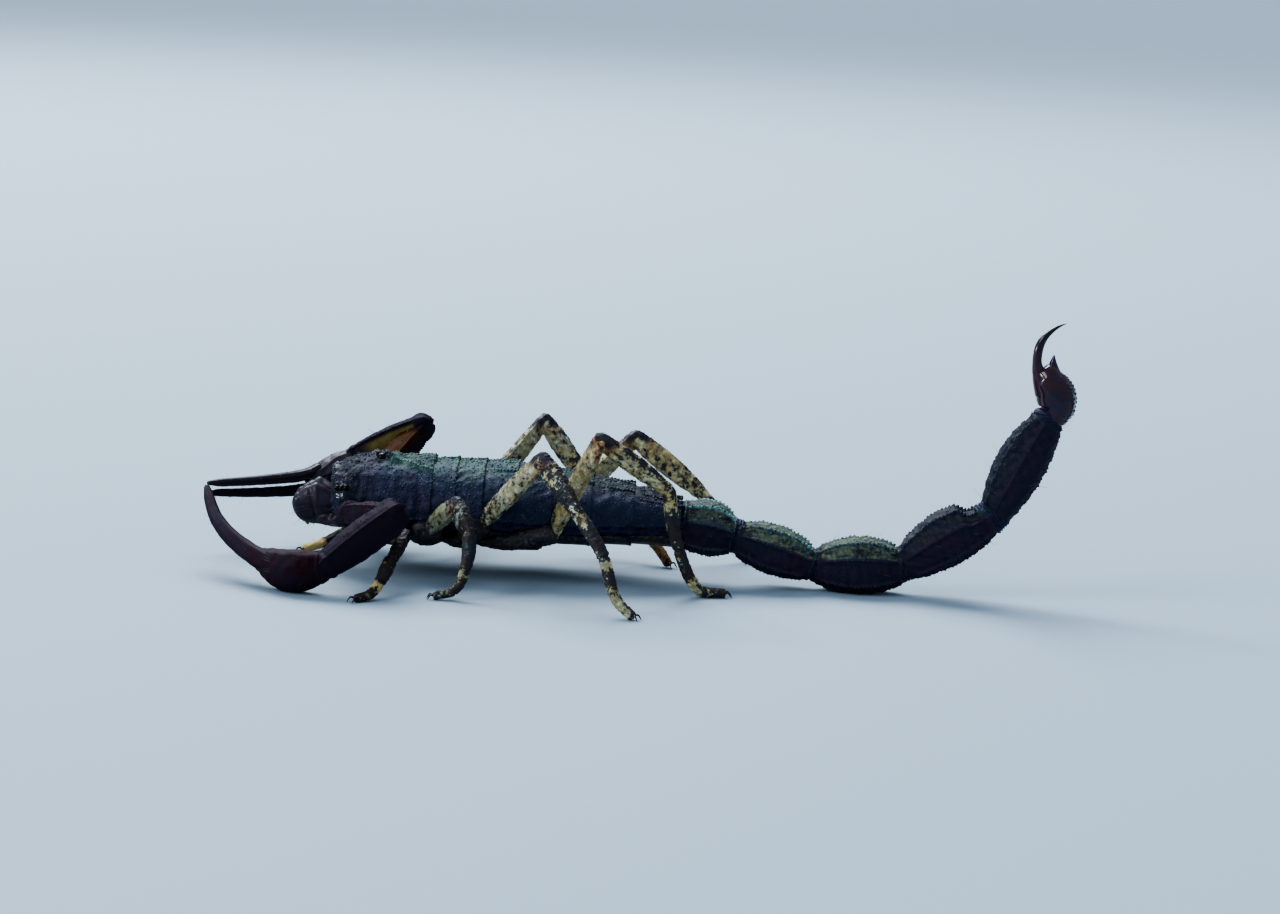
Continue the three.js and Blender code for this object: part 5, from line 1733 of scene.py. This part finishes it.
horns("thorn", [thorn_line(THORN, 0.0)], "sting_shell", "sting_shell", sides=28)
horns("sting", [thorn_line(STING, 1.0)], "sting_shell", "sting_shell", ["sting"], sides=36)
print("bulb and sting:", tally["telson"], tally["sting"], "triangles")

# %% [markdown]
# ## Jaws
# Two short pincers hang at the mouth. Each is a swollen hand with a pair of hooked teeth below, and
# works up and down to tear food. They give the animal its blunt dark snout.

# %% Jaws
MOUTH_LOBE = [[-16.4, 1.6, 3.05], [-17.8, 1.25, 3.0], [-19.25, 0.72, 3.05]]
# of each fang: how far inwards it stands, how far back it is and its thickness
FANGS = [[0.28, 0, 0.36], [-0.3, 1, 0.38]]


def jaw(side, sign):
    """The hand of one jaw, its fangs and the lobe of the mouth below it. Both shapes can grow bristles."""
    points = [mirrored(CHELICERA[place], sign) for place in ("root", "palm", "front")]
    across, over = CHELICERA["half"]
    section = oval(lambda t: across * (1 - 0.28 * t * t),
                   lambda t: over * (0.5 + 0.5 * rise(t, 0.05, 0.6)) * (1 - 0.2 * t ** 4),
                   lambda t: over * (1.06 - 0.1 * t))
    hand = Tube(Route(points), 80, 72, section, caps=(0.2, 0.6), cap_rows=10)
    t, a = hand.grid()
    hand.raise_by(0.03 * lumps(hand.points, 1.2, 90) - 0.05 * hill(t, 0.68, 0.05)
                  + 0.05 * hill(t, 0.55, 0.05) * rise(np.sin(a), -0.2, 0.4))
    hand.mark(grain=0.25 * rise(t, 0.5, 0.9), hairy=0.3 + 0.7 * rise(t, 0.6, 1.0), ruddy=0.5, raised=0)
    finished(f"chelicera_{side}", hand.shape(), "jaw", "pincer_shell", [f"chelicera_{side}"], seed=91,
             **grains(0.25, 0.04))
    fangs = []
    for inner, behind, thick in FANGS:
        root = points[2] + [0.4 + 0.3 * behind, sign * inner, -0.1]
        end = root + [-0.1, -0.25 * sign - sign * inner * 0.5, -1.08]
        fangs.append(horn_line([root, (root + end) / 2 + [-0.16, 0, 0.05], end], thick, 0.03))
    horns(f"fangs_{side}", fangs, "sting_shell", "sting_shell", sides=16)
    lobe = Tube(Route([mirrored(p, sign) for p in MOUTH_LOBE]), 60, 60,
                oval(lambda t: 0.78 - 0.2 * t, 0.5, 0.52), caps=(0.4, 0.45), cap_rows=8)
    t = lobe.grid()[0]
    lobe.raise_by(0.04 * lumps(lobe.points, 0.7, 94)).mark(grain=0.3, hairy=0.8 * t, ruddy=0.6, raised=0)
    finished(f"mouth_lobe_{side}", lobe.shape(), "jaw", "pincer_shell", seed=95, **grains(0.25, 0.04))
    return [hand.shape(), lobe.shape()]


jaw_shapes = [shape for side, sign in SIDES for shape in jaw(side, sign)]
print("jaws:", tally["chelicera_left"], "triangles each")

# %% [markdown]
# ## Pincer arms
# Each arm has a ring at its root, two keeled boxes (femur and patella), and a hand whose outer finger
# is fixed and whose inner one moves. The near arm reaches down and its fingers curve up to a point;
# the far arm is folded high at the elbow and points straight ahead. Box sections come from the same
# pull towards flat faces as the tail's, and rows of fine teeth line the biting edges.

# %% Pincer arms
BOX_KEELS = [42, 138, 222, 318]
# joints with skin: the joint, where the way to it starts and the half width of the skin
ARM_KNOTS = [["shoulder", "coxa", 0.54], ["elbow", "shoulder", 0.6], ["wrist", "shoulder", 0.56]]


def article(size, ends, peak=0.5, square=1.0):
    """The section of a limb's article. ends, how slim its ends are, may change with the share along."""
    def reach(i):
        return lambda t: size[i] * swell(t, ends(t) if callable(ends) else ends, peak)

    return oval(reach(0), reach(1), square=square)


def arm_tube(arm, joints, rows, sides, section, caps, share=0.0):
    """A tube through joints of the arm. share pulls it towards a box."""
    if share:
        section = flattened(section, BOX_KEELS, share)
    return Tube(Route([arm[joint] for joint in joints]), rows, sides, section, caps=caps, cap_rows=8)


def arm_piece(side, name, node, shape, rows, seed, finish="pincer_shell", **sizes):
    nodes = [f"pedipalp_{side}_{node}"]
    finished(f"arm_{side}_{name}", shape, finish, "pincer_shell", nodes, rows, seed, **sizes)


def arm_ring(side, arm):
    ring = arm_tube(arm, ("coxa", "shoulder"), 44, 60, article([ARM_SHOULDER] * 2, 0.85), (0.3, 0.35))
    t = ring.grid()[0]
    ring.raise_by(0.03 * lumps(ring.points, 0.6, 100) + 0.06 * hill(t, 0.9, 0.06))
    ring.mark(grain=0.8, hairy=0.2, raised=0)
    arm_piece(side, "ring", "trochanter", ring.shape(), (), 101, **grains(0.17, 0.04))


def arm_femur(side, arm, far):
    femur = arm_tube(arm, ("shoulder", "elbow"), 120, 88, article(ARM_FEMUR, 0.8, 0.6, 0.85), (0.5, 0.6),
                     0.6 if far else 0.3)
    t, a = femur.grid()
    turn, crest = np.degrees(a), ridges(a, BOX_KEELS, 5)
    femur.raise_by(0.06 * crest + 0.014 * lumps(femur.points, 0.8, 112, 24) + 0.06 * hill(t, 0.95, 0.03)
                   - 0.05 * hill(t, 0.9, 0.025))
    # the far femur's lit top is painted `pale` olive to orange-brown, partly paler cuticle and partly painted
    # light
    lit = far * rise(turn, 5, 22) * gone(turn, 150, 175) * rise(t, 0.2, 0.5) * gone(t, 0.82, 0.95)
    # the near femur's darker red is partly its own colour and partly painted shade
    femur.mark(grain=0.6 * (1 - 0.7 * lit), hairy=0.3, raised=0.3 * crest * (1 - lit) * far, pale=lit,
               warm=0.9, ruddy=0.1 if far else 0.8)
    rows = along_keels(femur, BOX_KEELS[2:] if far else BOX_KEELS, 0.05, 0.92, 0.75 if far else 0.45)
    arm_piece(side, "femur", "femur", femur.shape(), rows, 103,
              **beads(0.17, 0.08, 0.06, 0.08), **grains(0.2, 0.04))
    return femur.shape()


def arm_patella(side, arm, far):
    section = article(arm["patella"], lambda t: 0.68 + 0.2 * (1 - t), 0.35, 0.85)
    patella = arm_tube(arm, ("elbow", "wrist"), 140, 96, section, (0.75, 0.45), 0.6 if far else 0.3)
    t, a = patella.grid()
    turn, crest = np.degrees(a), ridges(a, BOX_KEELS, 5)
    knobs = hill(t, 0, 0.06) * ridges(a, [70, 150], 16) + 0.8 * hill(t, 0.1, 0.05) * ridges(a, [222, 318], 12)
    window = rise(turn, 142, 154) * gone(turn, 255, 275) * rise(t, 0.03, 0.1) * gone(t, 0.65, 0.85)
    patella.raise_by(0.07 * crest + 0.14 * knobs + 0.014 * lumps(patella.points, 0.8, 114, 24)
                     - 0.06 * window * far + 0.06 * hill(t, 0.96, 0.025) - 0.04 * hill(t, 0.91, 0.02))
    # the far window's olive to orange-brown is partly paler cuticle and partly a painted glow of the light
    # behind through the thin wall
    patella.mark(grain=0.5 * (1 - window), hairy=0.3, raised=0.5 * crest, pale=window * far,
                 ruddy=0.1 if far else 0.3, warm=rise(turn, 170, 205) * gone(t, 0.4, 0.65))
    rows = along_keels(patella, BOX_KEELS, 0.04, 0.93, 0.8 if far else 0.5)
    arm_piece(side, "patella", "patella", patella.shape(), rows, 105,
              **beads(0.18, 0.085, 0.06, 0.08), **grains(0.2, 0.04))
    return patella.shape()


def finger(arm, sign, direction):
    """A finger from the hand's end to its tip, and its teeth. direction is 1 for the moving finger."""
    palm, knuckle, gape = (np.array(arm[key], float) for key in ("palm", "knuckle", "gape"))
    middle = Route([palm + 0.6 * (knuckle - palm), knuckle, *arm["finger"]])
    t = np.linspace(0, 1, 13)
    along = middle.along(t)
    opening = unit(gape - along * (along @ gape)[:, None])

    def girth(i, t):
        return arm["root"][i] + (arm["tip"][i] - arm["root"][i]) * t

    def blunt(i):
        return lambda t: girth(i, t) * (1 - 0.45 * rise(t, 0.9, 1.05))

    line = middle.at(t) + opening * (direction * (girth(1, t) + arm["gap"] / 2))[:, None]
    tube = Tube(Route(line), 170, 44, oval(blunt(0), blunt(1)), up=gape, caps=(0.2, 0.25), cap_rows=8)
    t, a = tube.grid()
    bite = -direction * math.pi / 2
    outer = math.degrees(-bite)
    edges = ridges(a, [outer - 35, outer + 35], 9)
    tube.raise_by(0.03 * ridges(a, [-outer], 16) + 0.03 * edges - 0.025 * ridges(a, [outer], 14)
                  + 0.006 * lumps(tube.points, 0.7, 96, 24))
    tube.mark(grain=0.3 * (1 - t) * (a > 0), hairy=0.8, raised=0.25 * edges,
              ruddy=0.35 + 0.65 * (sign < 0) * gone(t, 0.05, 0.4))
    rows, pitch = [], 0.105
    for k in range(8):
        start, lean = 0.12 + pitch * k, (-1) ** k
        rows.append(track(tube, (start, bite + 0.14 * lean), (start + pitch, bite - 0.05 * lean)))
    return tube.shape(), rows


def arm_hand(side, sign, arm, far):
    """The hand with its fixed finger, and the moving finger."""
    section = article(arm["hand"], lambda t: 0.66 - 0.06 * t, 0.42)
    hand = arm_tube(arm, ("wrist", "palm", "knuckle"), 130, 96, section, (0.4, 0.55))
    t, a = hand.grid()
    ribs = ridges(a, [20, 55, 90, 125, 160, 230, 310], 6) * (1.0 if far else 0.4)
    hand.raise_by(0.045 * ribs * rise(t, 0.05, 0.25) + 0.014 * lumps(hand.points, 0.9, 116, 24)
                  + 0.06 * hill(t, 0.02, 0.03))
    hand.mark(grain=0.2, hairy=0.6, raised=0.3 * ribs, ruddy=0.1 if far else 1.0)
    (fixed, fixed_rows), (moving, moving_rows) = (finger(arm, sign, direction) for direction in (-1, 1))
    fine = {**beads(0.1, 0.05, 0.035, 0.03 if far else 0.05, 0.5), **grains(0.25, 0.035)}
    arm_piece(side, "hand", "hand", joined([hand.shape(), fixed]), fixed_rows, 107,
              "far_hand" if far else "pincer_shell", **fine)
    arm_piece(side, "finger", "finger", moving, moving_rows, 108, **fine)
    return [hand.shape(), fixed, moving]


arm_shapes = {}
for side, sign in SIDES:
    arm, far = ARMS[side], side == "right"
    arm_ring(side, arm)
    boxes = [arm_femur(side, arm, far), arm_patella(side, arm, far)]
    arm_shapes[side] = boxes + arm_hand(side, sign, arm, far)
    knots = [ball(arm[joint], [half, half, 0.5], np.subtract(arm[joint], arm[start]), 10, 40)
             for joint, start, half in ARM_KNOTS]
    finished(f"arm_{side}_joints", joined(knots), "joint_skin", "membrane")
print("arms:", count_triangles("arm"), "triangles")

# %% [markdown]
# ## Legs
# Eight legs of the same plan: a keeled femur and a deep patella that form the knee, then tibia,
# basitarsus and tarsus, each socketed in the one before, with spurs at the joints and two hooked
# claws. A small ring carries each leg on its coxa. One function builds a leg from its six joints. The
# knees of the rear legs stand above the back.

# %% Legs
# how much darker each patella of the left side is, from the first leg to the last
NEAR_SHADE = [0.0, 0.06, 0.2, 0.0]
# the foot's share at its ends and its two joints
FOOT_SPLIT = [0.0, 0.45, 0.75, 1.0]
# where spurs stand along the foot, and how far each leans to a side
SPURS = [[0.445, [0.3]], [0.745, [-1, 1]]]
# the angles of the keels, of which the first three carry beads
FEMUR_KEELS, PATELLA_KEELS = [60, 120, 300, 240], [65, 115, 305, 235]


def leg_article(points, size, ends, peak, caps, hinge, keels, first, seed, sombre=0.0):
    """Femur or patella, with a keel at each angle. first is the `reach` of its near end."""
    section = flattened(article(size, ends, peak), keels, 0.35)
    tube = Tube(Route(points), 90, 56, section, hinge=hinge, caps=caps, cap_rows=7)
    t, a = tube.grid()
    crest = ridges(a, keels, 8)
    tube.raise_by(0.035 * crest * hill(t, 0.5, 0.45) + 0.015 * lumps(tube.points, 0.35, seed)
                  + 0.035 * (hill(t, 0.03, 0.03) + hill(t, 0.96, 0.03)) - 0.02 * hill(t, 0.88, 0.03))
    return tube.mark(reach=first + np.clip(t, 0, 1), top=np.sin(a), raised=0.25 * crest, grain=0.55,
                     hairy=0.35, sombre=sombre, tawny=0)


def leg_foot(route, k, sign, hinge, seed):
    """Tibia, basitarsus and tarsus as one skin."""
    def girth(t):
        whole = np.interp(t, [0, 0.2, 0.45, 0.75, 1.0], [SHIN * 0.9, SHIN, *FOOT_GIRTH[k]])
        return whole * (1 - 0.22 * hill(t, 0.46, 0.012) - 0.2 * hill(t, 0.76, 0.01))

    foot = Tube(route, 150, 40, oval(girth, girth), hinge=hinge, caps=(0.25, 0.15), cap_rows=7)
    t, a = foot.grid()
    rims = hill(t, 0.44, 0.012) + hill(t, 0.745, 0.01) + hill(t, 0.03, 0.02)
    foot.raise_by(0.03 * rims + 0.012 * lumps(foot.points, 0.3, seed + 5))
    reach = np.interp(t, FOOT_SPLIT, [2, 3, 4, 5])
    cream = (k == 0) * (rise(reach, 3.95, 4.1) if sign > 0 else 0.7 * hill(reach, 3.45, 0.3))
    foot.mark(sombre=-cream, cream=cream, tawny=(sign > 0) * (k == 2) * rise(reach, 3.0, 3.4), reach=reach,
              top=np.sin(a), raised=0, grain=0.3 * gone(t, 0.4, 0.5),
              hairy=0.5 + 1.6 * rise(t, 0.45, 0.8) * rise(-np.sin(a), -0.4, 0.5))
    return foot.shape()


def leg_ring(k, hip, sign, seed):
    """The trochanter between coxa and femur."""
    root = mirrored(COXA_MIDDLES[k], sign)
    line = Route([root + 0.35 * (hip - root), root + 0.7 * (hip - root), hip + [0, sign * 0.1, 0]])
    section = oval(lambda t: 0.56 - 0.08 * t, lambda t: 0.6 - 0.1 * t)
    ring = Tube(line, 40, 44, section, caps=(0.3, 0.4), cap_rows=7)
    t, a = ring.grid()
    ring.raise_by(0.03 * lumps(ring.points, 0.5, seed + 7) + 0.04 * hill(t, 0.95, 0.06)
                  - 0.04 * hill(t, 0.55, 0.05))
    return ring.mark(reach=0.02, top=np.sin(a), raised=0, grain=0.5, sombre=0.1, tawny=0).shape()


def leg_claws(route, instep, toe):
    """Two hooked claws at the toe, and spurs at the foot's joints."""
    hooks = []
    way = unit((toe - instep) * [1, 1, 0])
    across = np.cross(UP, way)
    for s in (-1, 1):
        base = toe + 0.02 * way + 0.06 * s * across
        bend = base + 0.26 * way + 0.14 * s * across + [0, 0, 0.07]
        end = base + 0.46 * way + 0.2 * s * across + [0, 0, FLOOR_GAP + 0.01 - toe[2]]
        hooks.append(horn_line([base, bend, end], 0.075, 0.012, 14))
    for share, sides in SPURS:
        at, ahead = route.at(share), route.along(np.array([share]))[0]
        for s in sides:
            out = unit(s * np.cross(ahead, UP) - 0.6 * UP)
            bend, end = at + 0.27 * out + 0.12 * ahead, at + 0.3 * out + 0.34 * ahead
            hooks.append(horn_line([at + 0.14 * out, bend, end], 0.05, 0.01, 10))
    return hooks


def leg(side, sign, k):
    """All pieces of one leg. Its three articles' shapes can grow bristles."""
    hip, knee, shin, ankle, instep, toe = (np.array(p, float) for p in LEGS[side][k])
    name, pair, seed = f"leg_{side}_{k + 1}", f"leg_{k + 1}", 200 + 10 * k + (sign > 0)
    hinge = unit(np.cross(UP, (knee - hip) * [1, 1, 0]))
    shade = NEAR_SHADE[k] if sign < 0 else 0.0
    femur = leg_article([hip, knee], LEG_SIZE[k]["femur"], 0.76, 0.55, (0.25, 0.4), hinge, FEMUR_KEELS,
                        0, seed)
    patella = leg_article([knee, shin], LEG_SIZE[k]["patella"], lambda t: 0.62 + 0.14 * (1 - t), 0.4,
                          (0.42, 0.28), hinge, PATELLA_KEELS, 1, seed + 3, shade)
    foot_line = Route([shin, ankle, instep, toe])
    foot = leg_foot(foot_line, k, sign, hinge, seed)
    finished(f"{name}_trochanter", leg_ring(k, hip, sign, seed), pair, "leg_shell", (), seed=seed + 2,
             **grains(0.2, 0.035))
    sizes = {**beads(0.16, 0.07, 0.05, 0.05), **grains(0.2, 0.032)}
    for part, tube, keels in (("femur", femur, FEMUR_KEELS), ("patella", patella, PATELLA_KEELS)):
        finished(f"{name}_{part}", tube.shape(), pair, "leg_shell", [f"{name}_{part}"],
                 along_keels(tube, keels[:3], 0.08, 0.92, 0.9, count=24), seed, **sizes)
    finished(f"{name}_foot", foot, pair, "leg_shell", [f"{name}_foot"], seed=seed + 1, **sizes)
    horns(f"{name}_claws", leg_claws(foot_line, instep, toe), "sting_shell", "leg_shell", sides=8)
    knots = [ball(p, [wide, tall, 0.4], way, 8, 28) for p, wide, tall, way in (
        (knee, 0.3, 0.34, knee - hip), (shin, 0.3, 0.34, ankle - shin), (hip, 0.36, 0.42, knee - hip))]
    finished(f"{name}_joints", joined(knots), "joint_skin", "membrane")
    return [femur.shape(), patella.shape(), foot]


leg_shapes = [shape for side, sign in SIDES for k in range(4) for shape in leg(side, sign, k)]
print("legs:", count_triangles("leg"), "triangles")

# %% [markdown]
# ## Bristles
# Fine grey bristles stand on jaws, pincers, legs and tail, sparser and thinner on the near arm and on
# the tail. They catch the light from behind.

# %% Bristles
bristled("bristles_head", [*jaw_shapes, carapace_shape], 301, 2.2, 0.3, 0.8, 0.5, 0.018)
for side, sign in SIDES:
    count, thick = (0.7, 0.013) if side == "left" else (2.2, 0.022)
    bristled(f"bristles_arm_{side}", arm_shapes[side], 302 + sign, count, 0.25, 0.7, 0.6, thick)
bristled("bristles_legs", leg_shapes, 305, 3.2, 0.14, 0.42, 0.8, 0.02)
bristled("bristles_tail", tail_shapes + [bulb_shape], 307, 0.8, 0.3, 0.9, 0.4, 0.014)
print("bristles:", count_triangles("bristles"), "triangles")

# %% [markdown]
# ## Ground
# A plain pale table that curves up into a backdrop far behind, large enough to fill every view.

# %% Ground
TABLE_FRONT, TABLE_BACK, HALF_TABLE, CURVE, WALL_TOP = -1.5, 1.3, 3.5, 2.0, 4.0


def ground():
    f = Finish("table")
    f.surface(base_color=tint("#99a7b2"), roughness=0.75, specular_ior_level=0.25)
    profile = [(TABLE_FRONT, 0.0), (TABLE_BACK, 0.0)]
    profile += [(TABLE_BACK + CURVE * math.sin(s), CURVE - CURVE * math.cos(s))
                for s in np.linspace(0.05, math.pi / 2, 24)]
    profile += [(TABLE_BACK + CURVE, WALL_TOP)]
    points = [(x, y, z) for y, z in profile for x in (-HALF_TABLE, HALF_TABLE)]
    faces = [(2 * i, 2 * i + 1, 2 * i + 3, 2 * i + 2) for i in range(len(profile) - 1)]
    mesh = bpy.data.meshes.new("table")
    mesh.from_pydata(points, [], faces)
    mesh.materials.append(f.material)
    mesh.shade_smooth()
    thing = put("table", mesh)
    thing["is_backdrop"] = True


ground()
world = bpy.data.worlds.new("soft_room")
bpy.context.scene.world = world
world.use_nodes = True
sky = world.node_tree.nodes["Background"]
sky.inputs["Color"].default_value = tint("#bccde2")
sky.inputs["Strength"].default_value = 0.85

low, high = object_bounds()
largest = max(tally, key=tally.get)
print(len(tally), "pieces,", sum(tally.values()), "triangles, the largest is", largest, tally[largest])
for box, start, end in (("looks", low, high), ("solids", cad_low, cad_high)):
    print("box of the", box, "in mm:", [round((b - a) / MM, 2) for a, b in zip(start, end)])
